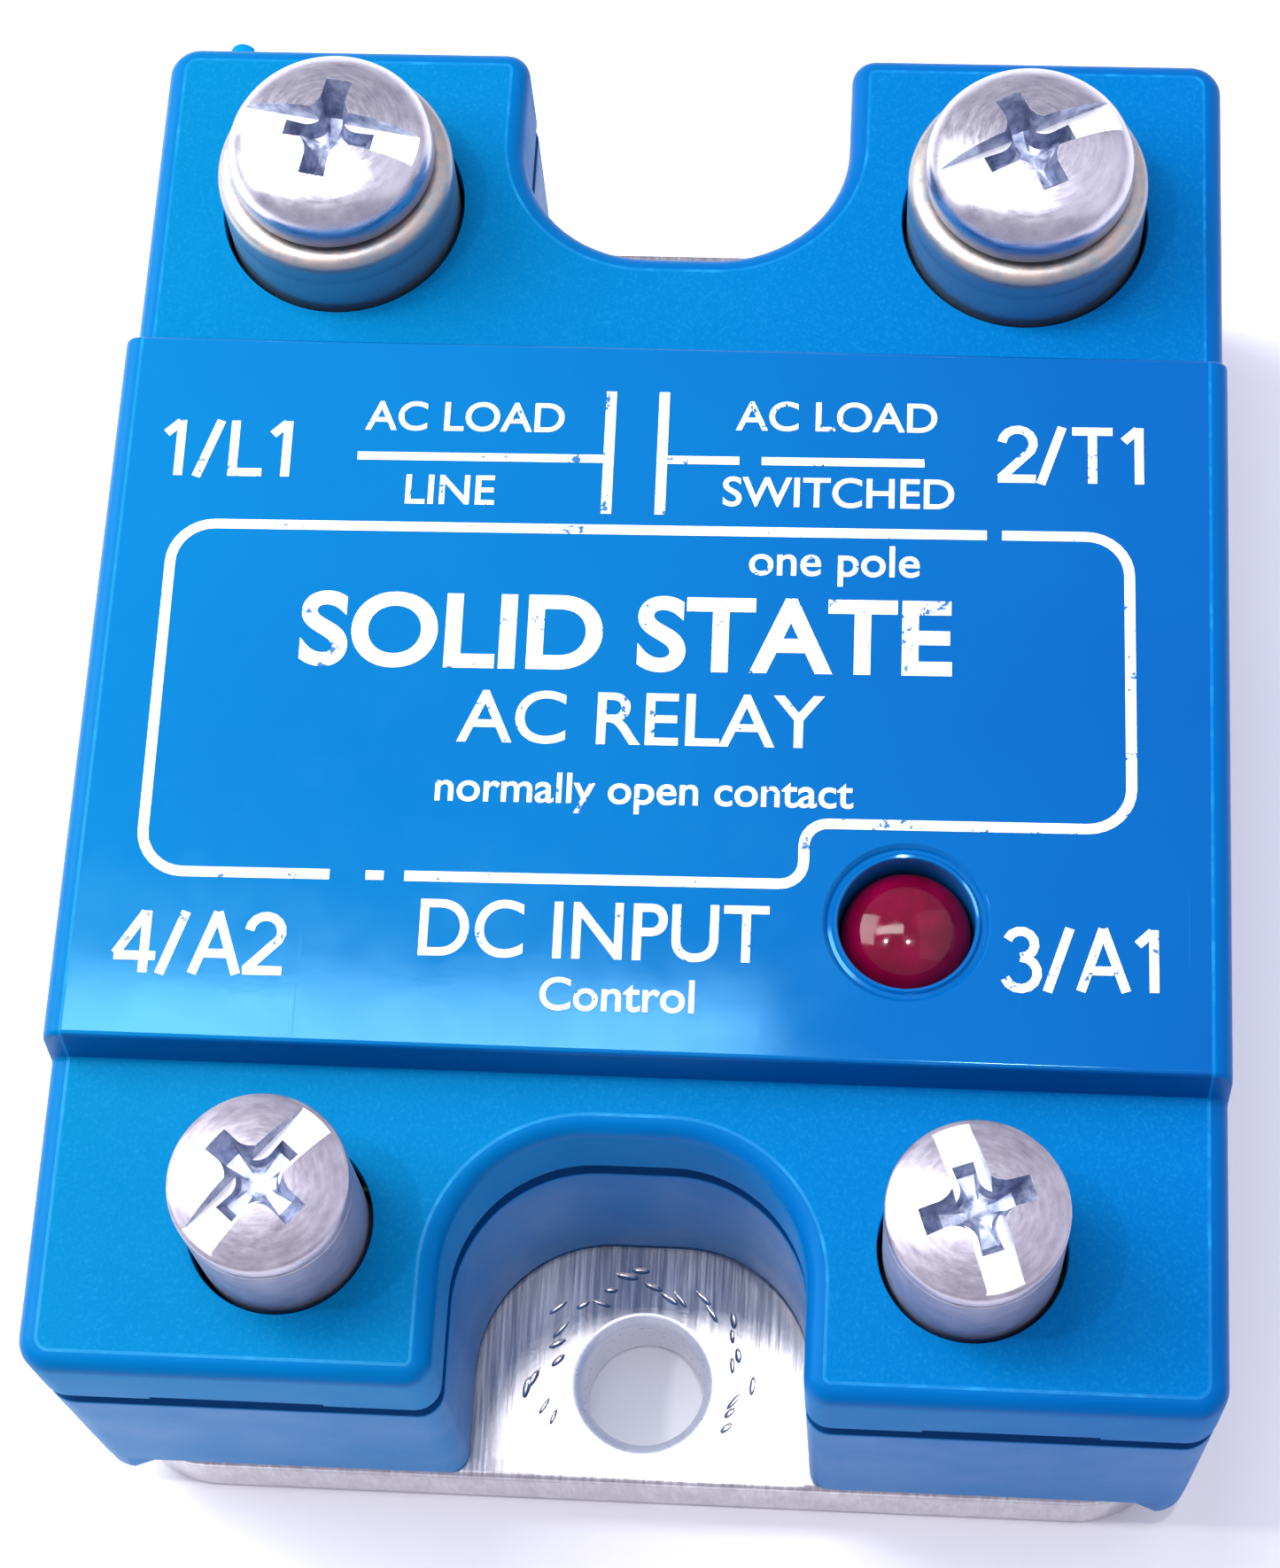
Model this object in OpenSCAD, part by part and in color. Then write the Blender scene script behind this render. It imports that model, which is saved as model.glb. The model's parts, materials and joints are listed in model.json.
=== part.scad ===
// Panel-mount solid state relay: metal base plate, two-part moulded housing, four terminal
// posts with combination screws, a status light, and the power and control parts inside.
// Origin: underside of the base plate, midway between its two mounting holes.
// +X runs across the housing, +Y from the control terminals to the load terminals, +Z up.

/* [Housing] */
// Length of the housing and the base plate, front to rear
body_l = 58; // [54:0.5:70]
// Width of the housing
body_w = 45; // [42:0.5:54]
// Height of the end decks above the mounting surface
deck_z = 20.9; // [19.5:0.1:25]
// Rise of the raised middle panel above the decks
panel_rise = 2; // [1:0.1:3]
// Length of the deck in front of the raised panel
front_deck_l = 12.4; // [11:0.1:14]
// Length of the deck behind the raised panel
rear_deck_l = 15.4; // [14:0.1:17]
// Radius of the outer vertical corners
corner_r = 1.3; // [1:0.1:3]
// Width of the mounting notch at each end
notch_w = 13.8; // [11:0.1:15]
// Depth of the mounting notch, measured from the end of the housing
notch_depth = 9.9; // [8.5:0.1:11]
// Radius of the two corners at the head of the notch
notch_r = 5.5; // [3:0.1:5.5]
// Radius of the vertical corners where the notch opens
mouth_r = 1; // [0.4:0.1:1.8]
// Height of the parting line between the cover and the case frame
seam_z = 16.4; // [15.6:0.1:17.2]
// Open height of the parting line
seam_gap = 0.4; // [0.2:0.05:0.6]

/* [Walls] */
// Thickness of the cover's roof
roof_t = 1.8; // [1.2:0.1:2.2]
// Thickness of the case wall beside the cover's locating lip
rim_wall = 1.1; // [0.9:0.1:1.4]
// Thickness of the case wall above the circuit board
case_wall = 2.2; // [2:0.1:2.5]
// Thickness of the case wall below the circuit board
foot_wall = 3; // [2.7:0.1:3.3]
// Depth of the cover's locating lip below the parting line
lip_depth = 2; // [1.2:0.1:2.6]
// Gap between the cover's lip and the case wall
lip_clear = 0.1; // [0.05:0.05:0.2]
// Depth of the corner feet that reach down beside the base plate
corner_foot_h = 2; // [1:0.1:3]

/* [Snap latches] */
// Width of each snap hook
latch_w = 6.4; // [4:0.1:8]
// Height of the barb seen in the parting line
latch_barb_h = 0.4; // [0.3:0.05:0.6]
// Height of the window above the parting line
latch_rise = 0.5; // [0.4:0.05:0.8]
// Gap round each hook in its window
latch_clear = 0.15; // [0.1:0.05:0.25]

/* [Base plate] */
// Thickness of the base plate
base_t = 4; // [3:0.1:5]
// Distance from the housing's side to the plate's side
plate_inset = 0.3; // [0.1:0.1:0.8]
// Radius of the plate's corners
plate_corner_r = 4.2; // [3.5:0.1:6]
// Gap between the plate and the corner feet
plate_clear = 0.12; // [0.05:0.01:0.3]
// Diameter of the two mounting holes
mount_hole_d = 5; // [4:0.1:5.2]
// Distance from the plate's end to the centre of each mounting hole
mount_hole_edge = 4.2; // [3.6:0.1:5.2]
// Width of the bevel round each mounting hole
mount_bevel = 0.5; // [0.2:0.1:0.8]
// Thickness of the adhesive bead between the plate and the case
bead_t = 0.2; // [0.1:0.05:0.4]

/* [Load terminals] */
// Diameter of the load post's collar
load_post_d = 9.8; // [9:0.1:10.6]
// Height of the load post above the deck
load_post_rise = 3.4; // [2:0.1:4.5]
// Length of the load post's collar, from its top
load_collar_l = 6.8; // [5:0.1:7.2]
// Diameter of the load post's stem
load_stem_d = 7; // [6.2:0.1:7.6]
// Distance from the housing's side to the load post's axis
load_post_side = 8.2; // [8:0.1:8.8]
// Distance from the housing's rear end to the load post's axis
load_post_end = 7.9; // [7.4:0.1:8.6]
// Thread diameter of the load screw
load_thread_d = 4.16; // [3.8:0.01:4.8]
// Threaded length of the load screw
load_screw_l = 7.9; // [6:0.1:10]
// Diameter of the load screw's head
load_head_d = 8.5; // [7:0.1:8.8]
// Height of the load screw's head
load_head_h = 2.9; // [2.4:0.1:3.2]
// Height of the seating face under the load screw's head
load_seat_h = 0.12; // [0.1:0.01:0.4]

/* [Control terminals] */
// Diameter of the control post
control_post_d = 6.7; // [6.4:0.1:7.2]
// Height of the control post above the deck
control_post_rise = 4.5; // [3:0.1:5]
// Distance from the housing's side to the control post's axis
control_post_side = 9.5; // [9:0.1:10]
// Distance from the housing's front end to the control post's axis
control_post_end = 6; // [5.6:0.1:6.6]
// Thread diameter of the control screw
control_thread_d = 3.5; // [3:0.01:4]
// Threaded length of the control screw
control_screw_l = 6.3; // [5:0.1:8]
// Diameter of the control screw's head
control_head_d = 6.7; // [6:0.1:7]
// Height of the control screw's head
control_head_h = 2; // [1.8:0.1:2.6]
// Height of the seating face under the control screw's head
control_seat_h = 0.12; // [0.1:0.01:0.4]

/* [Terminal fits] */
// Gap between a post and its hole in the cover
post_clear = 0.2; // [0.1:0.05:0.4]
// Running gap between a screw's thread and its post
thread_clear = 0.05; // [0.02:0.01:0.1]
// Gap between a tightened screw and its post
seat_gap = 0.05; // [0.02:0.01:0.1]
// Depth left below a screw in its post
bore_spare = 1; // [0.5:0.1:2]
// Width of the driver slot
slot_w = 1.45; // [1.1:0.05:1.7]
// Depth of the driver slot at the middle of the head
slot_depth = 0.95; // [0.8:0.05:1.1]
// Span of the driver cross recess
cross_span = 4.4; // [3.4:0.1:4.8]
// Width of the cross recess's arms
cross_w = 1.05; // [0.8:0.05:1.3]
// Depth of the cross recess below the slot's floor
cross_step = 0.5; // [0.2:0.1:0.6]

/* [Status light] */
// Diameter of the light's lens
led_d = 5; // [4:0.1:5.4]
// Overall height of the lens, from its flange to its tip
led_h = 8.7; // [7.5:0.1:9]
// Width of the flange ring round the lens
led_flange = 0.4; // [0.3:0.05:0.5]
// Distance from the housing's side to the light's axis
led_side = 12.3; // [11.5:0.1:12.8]
// Distance from the housing's front end to the light's axis
led_end = 18.1; // [17:0.1:19]
// Gap between the lens and its hole in the cover
led_clear = 0.1; // [0.1:0.05:0.4]
// Width of the shallow ring cut round the light's hole
led_ring = 0.55; // [0.3:0.05:0.8]

/* [Electronics] */
// Thickness of the circuit board
board_t = 1.6; // [1:0.1:2]
// Height of the board's underside above the mounting surface
board_z = 11.5; // [11:0.1:12]
// Gap between the board and the case wall
board_clear = 0.2; // [0.1:0.05:0.4]
// Gap round a lead or stem in the board
lead_clear = 0.1; // [0.05:0.05:0.3]
// Height of the potting compound above the mounting surface
potting_z = 10; // [9:0.1:10.8]
// Gap between the insulating ceramic and the case's side walls
ceramic_side = 3; // [2:0.1:4]
// Length of the insulating ceramic
ceramic_l = 20; // [17:0.5:21]
// Thickness of the insulating ceramic
ceramic_t = 0.8; // [0.5:0.1:1.2]
// Thickness of the solder under the ceramic
solder_t = 0.15; // [0.1:0.05:0.3]
// Thickness of the copper tracks on the ceramic
track_t = 0.3; // [0.2:0.05:0.5]
// Side of each square thyristor chip
chip_w = 5; // [4:0.1:5.5]
// Thickness of each thyristor chip
chip_t = 0.4; // [0.3:0.05:0.6]
// Thickness of the copper load straps and chip clips
strap_t = 0.8; // [0.5:0.1:1]
// Width of each load strap
strap_w = 4; // [3:0.1:5]

/* [Hidden] */

$fn = 96;
cut = 1;
skim = 0.04;

// Heights
panel_z = deck_z + panel_rise;
case_z = base_t + bead_t;
case_top = seam_z - seam_gap;
ledge_z = case_top - lip_depth;
board_top = board_z + board_t;
load_top = deck_z + load_post_rise;
control_top = deck_z + control_post_rise;

// Plan positions
panel_y0 = front_deck_l - body_l / 2;
panel_y1 = body_l / 2 - rear_deck_l;
notch_y = body_l / 2 - notch_depth;
inner_y = notch_y - case_wall;
mount_y = body_l / 2 - mount_hole_edge;
load_x = body_w / 2 - load_post_side;
load_y = body_l / 2 - load_post_end;
control_x = body_w / 2 - control_post_side;
control_y = control_post_end - body_l / 2;
led_x = body_w / 2 - led_side;
led_y = led_end - body_l / 2;
latch_x = (body_w + notch_w) / 4;

// Stack of the power section, from the base plate up
ceramic_z = base_t + solder_t;
track_z = ceramic_z + ceramic_t;
chip_z = track_z + track_t;
clip_z = chip_z + chip_t;
strap_z = potting_z - strap_t - 1;
stem_z = strap_z + strap_t;
ceramic_w = body_w - 2 * (foot_wall + ceramic_side);
ceramic_y = 1;

// Power section layout
track_gap = 1.6;
track_margin = 0.8;
chip_x = (track_gap / 2 + load_x) / 2;
chip_y = 4.2;
clip_w = 2.6;
clip_land = 3;
gate_d = 0.6;
gate_inset = 0.7;
strap_foot_l = 4;

// Control section layout
lead_d = 0.6;
lead_foot = 1.2;
opto_w = 7.6;
opto_l = 6.4;
opto_h = 3.4;
opto_lift = 0.4;
pin_pitch = 2.2;
pin_w = 0.5;
pin_reach = 0.6;
cap_w = 9;
cap_l = 5;
cap_h = 5.2;
cap_y = inner_y - 3.2;
axial_lift = 1.5;
axial_lead = 1.6;
snubber_y = inner_y - 7.4;
resistor_y = 6.1 - inner_y;
diode_y = 2.4 - inner_y;
input_x = -6;
snubber_size = [2.4, 6.6];
resistor_size = [2.4, 6.3];
diode_size = [2, 4.2];
transistor_x = 0.8;
transistor_y = 4 - inner_y;
transistor_r = 2.2;
transistor_flat = 1;
transistor_h = 4.2;
transistor_lift = 1;
transistor_pitch = 1.27;
led_pitch = 2.54;
led_flange_h = 1;
light_recess = 0.1;
led_base_z = panel_z - light_recess - led_h;
nub_w = 1.7;
nub_reach = 0.5;
nub_h = 1.05;
nub_drop = 0.25;
nub_x = 3 - body_w / 2;
bead_inset = 0.4;
light_ring_h = 0.25;
head_edge_share = 0.4;
seat_share = 0.86;

// Screw head positions: turn of each driver slot, in degrees from +X
load_slot_1 = -10;
load_slot_2 = 26;
control_slot_3 = -70;
control_slot_4 = 50;

// ---- Outlines ----

module rounded_rect(w, l, r) {
    square([w - 2 * r, l], center = true);
    square([w, l - 2 * r], center = true);
    for (x = [-1, 1], y = [-1, 1]) {
        translate([x * (w / 2 - r), y * (l / 2 - r)]) circle(r);
    }
}

// The open space of one notch, grown by a margin
module notch_shape(margin) {
    head_y = notch_y + notch_r;
    span = body_l / 2 + cut - head_y;
    translate([-notch_w / 2 - margin, head_y]) square([notch_w + 2 * margin, span]);
    translate([notch_r - notch_w / 2, notch_y - margin]) {
        square([notch_w - 2 * notch_r, body_l / 2 + cut - notch_y + margin]);
    }
    for (x = [-1, 1]) {
        translate([x * (notch_w / 2 - notch_r), head_y]) circle(notch_r + margin);
    }
}

// The waste outside a convex corner of radius r at the origin, for the quadrant x < 0, y < 0
module corner_waste(r) {
    difference() {
        translate([-r, -r]) square([r + cut / 10, r + cut / 10]);
        translate([-r, -r]) circle(r);
    }
}

// The housing's outline, drawn in from its faces by inset
module plan(inset) {
    outer_r = max(corner_r - inset, 0.2);
    mouth = mouth_r - inset;
    difference() {
        rounded_rect(body_w - 2 * inset, body_l - 2 * inset, outer_r);
        for (end = [0, 1]) {
            mirror([0, end]) notch_shape(inset);
        }
        if (mouth > 0) {
            for (x = [0, 1], y = [0, 1]) {
                mirror([x, 0]) mirror([0, y]) {
                    translate([notch_w / 2 + inset, body_l / 2 - inset]) {
                        mirror([1, 0]) corner_waste(mouth);
                    }
                }
            }
        }
    }
}

module wall(outer, inner, z0, z1) {
    translate([0, 0, z0]) linear_extrude(z1 - z0) {
        difference() {
            plan(outer);
            plan(inner);
        }
    }
}

// A vertical round bar between two heights
module bar(x, y, d, z0, z1) {
    translate([x, y, z0]) cylinder(d = d, h = z1 - z0);
}

module plate_outline(margin) {
    rounded_rect(
        body_w - 2 * plate_inset + 2 * margin,
        body_l + 2 * margin,
        plate_corner_r + margin
    );
}

// ---- Base ----

module base_plate() {
    color("silver") difference() {
        linear_extrude(base_t) plate_outline(0);
        for (y = [-mount_y, mount_y]) {
            bar(0, y, mount_hole_d, -cut, base_t + cut);
            translate([0, y, base_t - mount_bevel]) {
                cylinder(
                    r1 = mount_hole_d / 2,
                    r2 = mount_hole_d / 2 + mount_bevel + skim,
                    h = mount_bevel + skim
                );
            }
        }
    }
}

module base_adhesive() {
    color("dimgray") intersection() {
        wall(bead_inset, foot_wall, base_t, case_z);
        translate([0, 0, base_t - cut]) {
            linear_extrude(bead_t + 2 * cut) plate_outline(-bead_inset);
        }
    }
}

// ---- Housing ----

module corner_feet() {
    reach = 3;
    translate([0, 0, case_z - corner_foot_h]) linear_extrude(corner_foot_h) {
        difference() {
            intersection() {
                plan(0);
                for (x = [-1, 1], y = [-1, 1]) {
                    translate([x * (body_w - reach) / 2, y * (body_l - reach) / 2]) {
                        square([reach, reach], center = true);
                    }
                }
            }
            plate_outline(plate_clear);
        }
    }
}

// One box at each of the four latches, set in from the end face by inset
module latch_box(w, inset, depth, z0, z1) {
    for (x = [-1, 1], y = [0, 1]) {
        mirror([0, y, 0]) translate([x * latch_x - w / 2, body_l / 2 - inset - depth, z0]) {
            cube([w, depth, z1 - z0]);
        }
    }
}

// Room for the posts, where a narrow housing brings them close to the walls
module case_reliefs() {
    for (x = [-1, 1]) {
        bar(x * load_x, load_y, load_stem_d + 2 * lead_clear, case_z, case_top);
        bar(x * control_x, control_y, control_post_d + 2 * post_clear, board_top - post_clear, case_top);
        bar(x * control_x, control_y, control_post_d / 3 + 2 * lead_clear, case_z, board_top);
    }
}

module case_frame() {
    barb_z = seam_z + latch_rise - latch_clear;
    stem_in = rim_wall / 2;
    color("deepskyblue") {
        difference() {
            union() {
                wall(0, foot_wall, case_z, board_z);
                wall(0, case_wall, board_z, ledge_z);
                wall(0, rim_wall, ledge_z, case_top);
                corner_feet();
                latch_box(latch_w, stem_in, rim_wall - stem_in, ledge_z, barb_z);
                latch_box(latch_w, 0, rim_wall, barb_z - latch_barb_h, barb_z);
            }
            case_reliefs();
        }
    }
}

module cover() {
    lip_in = rim_wall + lip_clear;
    roof_z = deck_z - roof_t;
    panel_l = panel_y1 - panel_y0;
    panel_mid = (panel_y0 + panel_y1) / 2;
    ring_d = led_d + 2 * (led_clear + led_ring);
    color("dodgerblue") {
        difference() {
            union() {
                wall(0, case_wall, seam_z, roof_z);
                wall(lip_in, case_wall, ledge_z, seam_z);
                translate([0, 0, roof_z]) linear_extrude(roof_t) plan(0);
                translate([0, panel_mid, deck_z]) {
                    linear_extrude(panel_rise) square([body_w, panel_l], center = true);
                }
                translate([nub_x, body_l / 2 + nub_reach / 2, deck_z - nub_drop - nub_h / 2]) {
                    cube([nub_w, nub_reach, nub_h], center = true);
                }
            }
            translate([0, panel_mid, roof_z - cut]) linear_extrude(panel_rise + cut) {
                square([body_w - 2 * case_wall, panel_l - 2 * roof_t], center = true);
            }
            latch_box(
                latch_w + 2 * latch_clear, -cut, cut + rim_wall,
                seam_z - cut, seam_z + latch_rise
            );
            for (x = [-load_x, load_x]) {
                bar(x, load_y, load_post_d + 2 * post_clear, ledge_z - cut, deck_z + cut);
            }
            for (x = [-control_x, control_x]) {
                bar(x, control_y, control_post_d + 2 * post_clear, ledge_z - cut, deck_z + cut);
            }
            bar(led_x, led_y, led_d + 2 * led_clear, roof_z - cut, panel_z + cut);
            bar(led_x, led_y, ring_d, panel_z - light_ring_h, panel_z + cut);
        }
    }
}

// ---- Status light ----

module led_lens() {
    dome_z = led_h - led_d / 2;
    color("red") translate([led_x, led_y, led_base_z]) {
        cylinder(d = led_d + 2 * led_flange, h = led_flange_h);
        cylinder(d = led_d, h = dome_z);
        translate([0, 0, dome_z]) sphere(d = led_d);
    }
}

module led_leads() {
    color("silver") for (x = [-1, 1]) {
        bar(led_x + x * led_pitch / 2, led_y, lead_d, board_z - lead_foot, led_base_z);
    }
}

// ---- Terminals ----

// Post with a blind threaded hole, centred on the origin in plan
module load_post() {
    bore_d = load_thread_d + 2 * thread_clear;
    color("tan") difference() {
        union() {
            bar(0, 0, load_post_d, load_top - load_collar_l, load_top);
            bar(0, 0, load_stem_d, stem_z, load_top - load_collar_l);
        }
        bar(0, 0, bore_d, load_top - load_screw_l - bore_spare, load_top + cut);
    }
}

module control_post() {
    bore_d = control_thread_d + 2 * thread_clear;
    color("lightgray") difference() {
        union() {
            bar(0, 0, control_post_d, board_top, control_top);
            bar(0, 0, control_post_d / 3, board_z - lead_foot, board_top);
        }
        bar(0, 0, bore_d, control_top - control_screw_l - bore_spare, control_top + cut);
    }
}

module load_post_1() {
    translate([-load_x, load_y, 0]) load_post();
}

module load_post_2() {
    translate([load_x, load_y, 0]) load_post();
}

module control_post_3() {
    translate([control_x, control_y, 0]) control_post();
}

module control_post_4() {
    translate([-control_x, control_y, 0]) control_post();
}

// Pan-head screw standing on the origin: seat, domed head, thread, slot and cross recess
module pan_screw(head_d, head_h, seat_h, thread_d, thread_l) {
    edge_h = head_h * head_edge_share;
    dome_h = head_h - edge_h;
    dome_r = (pow(head_d / 2, 2) + pow(dome_h, 2)) / (2 * dome_h);
    cross_z = seat_h + head_h - slot_depth - cross_step;
    color("gainsboro") difference() {
        union() {
            translate([0, 0, seat_h]) intersection() {
                cylinder(d = head_d, h = head_h);
                translate([0, 0, head_h - dome_r]) sphere(dome_r);
            }
            translate([0, 0, seat_gap]) cylinder(d = head_d * seat_share, h = seat_h);
            translate([0, 0, -thread_l]) cylinder(d = thread_d, h = thread_l + seat_h);
        }
        translate([-head_d, -slot_w / 2, seat_h + head_h - slot_depth]) {
            cube([2 * head_d, slot_w, head_h]);
        }
        for (turn = [0, 90]) {
            rotate(turn) translate([-cross_span / 2, -cross_w / 2, cross_z]) {
                cube([cross_span, cross_w, head_h]);
            }
        }
    }
}

module load_screw(slot) {
    rotate(slot) {
        pan_screw(load_head_d, load_head_h, load_seat_h, load_thread_d, load_screw_l);
    }
}

module control_screw(slot) {
    rotate(slot) {
        pan_screw(
            control_head_d, control_head_h, control_seat_h, control_thread_d, control_screw_l
        );
    }
}

module load_screw_1() {
    translate([-load_x, load_y, load_top]) load_screw(load_slot_1);
}

module load_screw_2() {
    translate([load_x, load_y, load_top]) load_screw(load_slot_2);
}

module control_screw_3() {
    translate([control_x, control_y, control_top]) control_screw(control_slot_3);
}

module control_screw_4() {
    translate([-control_x, control_y, control_top]) control_screw(control_slot_4);
}

// ---- Control section ----

// Two leads of an axial part lying along X, bent down through the board
module axial_leads(x, y, size) {
    reach = size[1] / 2 + axial_lead;
    for (side = [-1, 1]) {
        bar(x + side * reach, y, lead_d, board_z - lead_foot, board_top + axial_lift);
        translate([x + side * (size[1] / 2), y, board_top + axial_lift]) {
            rotate([0, side * 90, 0]) cylinder(d = lead_d, h = axial_lead + lead_d / 2);
        }
    }
}

module axial_body(x, y, size) {
    translate([x - size[1] / 2, y, board_top + axial_lift]) {
        rotate([0, 90, 0]) cylinder(d = size[0], h = size[1]);
    }
}

module component_leads() {
    color("silver") {
        axial_leads(0, snubber_y, snubber_size);
        axial_leads(input_x, resistor_y, resistor_size);
        axial_leads(input_x, diode_y, diode_size);
        for (x = [-1, 1]) {
            bar(x * cap_w / 3, cap_y, lead_d, board_z - lead_foot, board_top);
        }
        for (x = [-1, 0, 1]) {
            bar(
                transistor_x + x * transistor_pitch, transistor_y, lead_d,
                board_z - lead_foot, board_top + transistor_lift
            );
        }
    }
}

module optocoupler() {
    color("dimgray") translate([0, 0, board_top + opto_lift + opto_h / 2]) {
        cube([opto_w - pin_reach, opto_l, opto_h], center = true);
    }
}

module optocoupler_pins() {
    pin_x = (opto_w - pin_reach) / 2;
    pin_z = board_top + opto_lift + opto_h / 2;
    color("silver") for (side = [0, 1], y = [-1, 0, 1]) {
        mirror([side, 0, 0]) translate([0, y * pin_pitch - pin_w / 2, 0]) {
            translate([pin_x, 0, pin_z - pin_w]) cube([pin_reach, pin_w, pin_w]);
            translate([pin_x + pin_reach - pin_w, 0, board_z - lead_foot]) {
                cube([pin_w, pin_w, pin_z - board_z + lead_foot]);
            }
        }
    }
}

module snubber_capacitor() {
    color("gold") translate([0, cap_y, board_top + cap_h / 2]) {
        cube([cap_w, cap_l, cap_h], center = true);
    }
}

module snubber_resistor() {
    color("tan") axial_body(0, snubber_y, snubber_size);
}

module input_resistor() {
    color("steelblue") axial_body(input_x, resistor_y, resistor_size);
}

module input_diode() {
    color("black") axial_body(input_x, diode_y, diode_size);
}

module input_transistor() {
    color("black") translate([transistor_x, transistor_y, board_top + transistor_lift]) {
        linear_extrude(transistor_h) difference() {
            circle(transistor_r);
            translate([-transistor_r - cut, transistor_flat]) {
                square([2 * (transistor_r + cut), transistor_r + cut]);
            }
        }
    }
}

// Lead holes of the board: the leads' own shapes, grown by a clearance
module board_hole(x, y, d) {
    bar(x, y, d + 2 * lead_clear, board_z - cut, board_top + cut);
}

module axial_holes(x, y, size) {
    for (side = [-1, 1]) {
        board_hole(x + side * (size[1] / 2 + axial_lead), y, lead_d);
    }
}

module circuit_board() {
    pin_x = opto_w / 2 - pin_w / 2 + pin_reach / 2;
    color("darkgreen") difference() {
        translate([0, 0, board_z]) linear_extrude(board_t) plan(case_wall + board_clear);
        for (x = [-1, 1]) {
            board_hole(x * load_x, load_y, load_stem_d);
            board_hole(x * control_x, control_y, control_post_d / 3);
            board_hole(led_x + x * led_pitch / 2, led_y, lead_d);
            board_hole(x * cap_w / 3, cap_y, lead_d);
            for (y = [-1, 0, 1]) {
                board_hole(x * pin_x, y * pin_pitch, pin_w * sqrt(2));
            }
        }
        axial_holes(0, snubber_y, snubber_size);
        axial_holes(input_x, resistor_y, resistor_size);
        axial_holes(input_x, diode_y, diode_size);
        for (x = [-1, 0, 1]) {
            board_hole(transistor_x + x * transistor_pitch, transistor_y, lead_d);
        }
        for (side = [-1, 1]) {
            board_hole(side * gate_x(), side * gate_y(), gate_d);
        }
    }
}

// ---- Power section ----

function gate_x() = chip_x + chip_w / 2 - gate_inset;
function gate_y() = chip_y + chip_w / 2 - gate_inset;

// A sheet of the ceramic's outline, drawn in by margin, at height z
module sheet(margin, t, z) {
    translate([0, ceramic_y, z + t / 2]) {
        cube([ceramic_w - 2 * margin, ceramic_l - 2 * margin, t], center = true);
    }
}

module substrate_solder() {
    color("silver") sheet(0.5, solder_t, base_t);
}

module ceramic_substrate() {
    color("white") sheet(0, ceramic_t, ceramic_z);
}

module copper_tracks() {
    color("peru") difference() {
        sheet(track_margin, track_t, track_z);
        translate([-track_gap / 2, ceramic_y - ceramic_l, track_z - cut]) {
            cube([track_gap, 2 * ceramic_l, track_t + 2 * cut]);
        }
    }
}

// The two chips stand on opposite tracks, half a turn apart about the centre
module twice() {
    for (turn = [0, 180]) {
        rotate(turn) children();
    }
}

module thyristor_chips() {
    color("slategray") twice() {
        translate([chip_x - chip_w / 2, chip_y - chip_w / 2, chip_z]) {
            cube([chip_w, chip_w, chip_t]);
        }
    }
}

// A bridge from the top of each chip to the other chip's track
module chip_clips() {
    land_x = -track_gap / 2 - clip_land;
    color("peru") twice() translate([0, chip_y - clip_w / 2 - gate_inset, 0]) {
        translate([land_x, 0, clip_z]) cube([chip_x + 1 - land_x, clip_w, strap_t]);
        translate([land_x, 0, chip_z]) cube([clip_land / 2, clip_w, chip_t]);
    }
}

module gate_leads() {
    color("silver") twice() {
        bar(gate_x(), gate_y(), gate_d, clip_z, board_top + 0.5);
    }
}

// A strap from the track, up and back to stand under the load post
module load_strap(side) {
    foot_y1 = ceramic_y + ceramic_l / 2 - track_margin;
    foot_y0 = foot_y1 - strap_foot_l;
    color("peru") translate([side * load_x - strap_w / 2, 0, 0]) {
        translate([0, foot_y0, chip_z]) cube([strap_w, strap_foot_l, strap_t]);
        translate([0, foot_y1 - strap_t, chip_z]) cube([strap_w, strap_t, stem_z - chip_z]);
        translate([0, foot_y1 - strap_t, strap_z]) {
            cube([strap_w, load_y + strap_w / 2 - foot_y1 + strap_t, strap_t]);
        }
    }
}

module load_strap_1() {
    load_strap(-1);
}

module load_strap_2() {
    load_strap(1);
}

// Compound that fills the case round the power section
module potting() {
    color("darkslategray") difference() {
        translate([0, 0, base_t]) linear_extrude(potting_z - base_t) plan(foot_wall);
        substrate_solder();
        ceramic_substrate();
        copper_tracks();
        thyristor_chips();
        chip_clips();
        gate_leads();
        load_strap_1();
        load_strap_2();
        for (x = [-load_x, load_x]) {
            bar(x, load_y, load_stem_d, stem_z, potting_z + cut);
        }
    }
}

base_plate();
base_adhesive();
case_frame();
cover();
led_lens();
led_leads();
load_post_1();
load_post_2();
control_post_3();
control_post_4();
load_screw_1();
load_screw_2();
control_screw_3();
control_screw_4();
circuit_board();
optocoupler();
optocoupler_pins();
snubber_capacitor();
snubber_resistor();
input_resistor();
input_diode();
input_transistor();
component_leads();
substrate_solder();
ceramic_substrate();
copper_tracks();
thyristor_chips();
chip_clips();
gate_leads();
load_strap_1();
load_strap_2();
potting();
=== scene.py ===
import json
import math
import random

import bmesh
import bpy
from mathutils import Matrix, Vector


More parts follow.
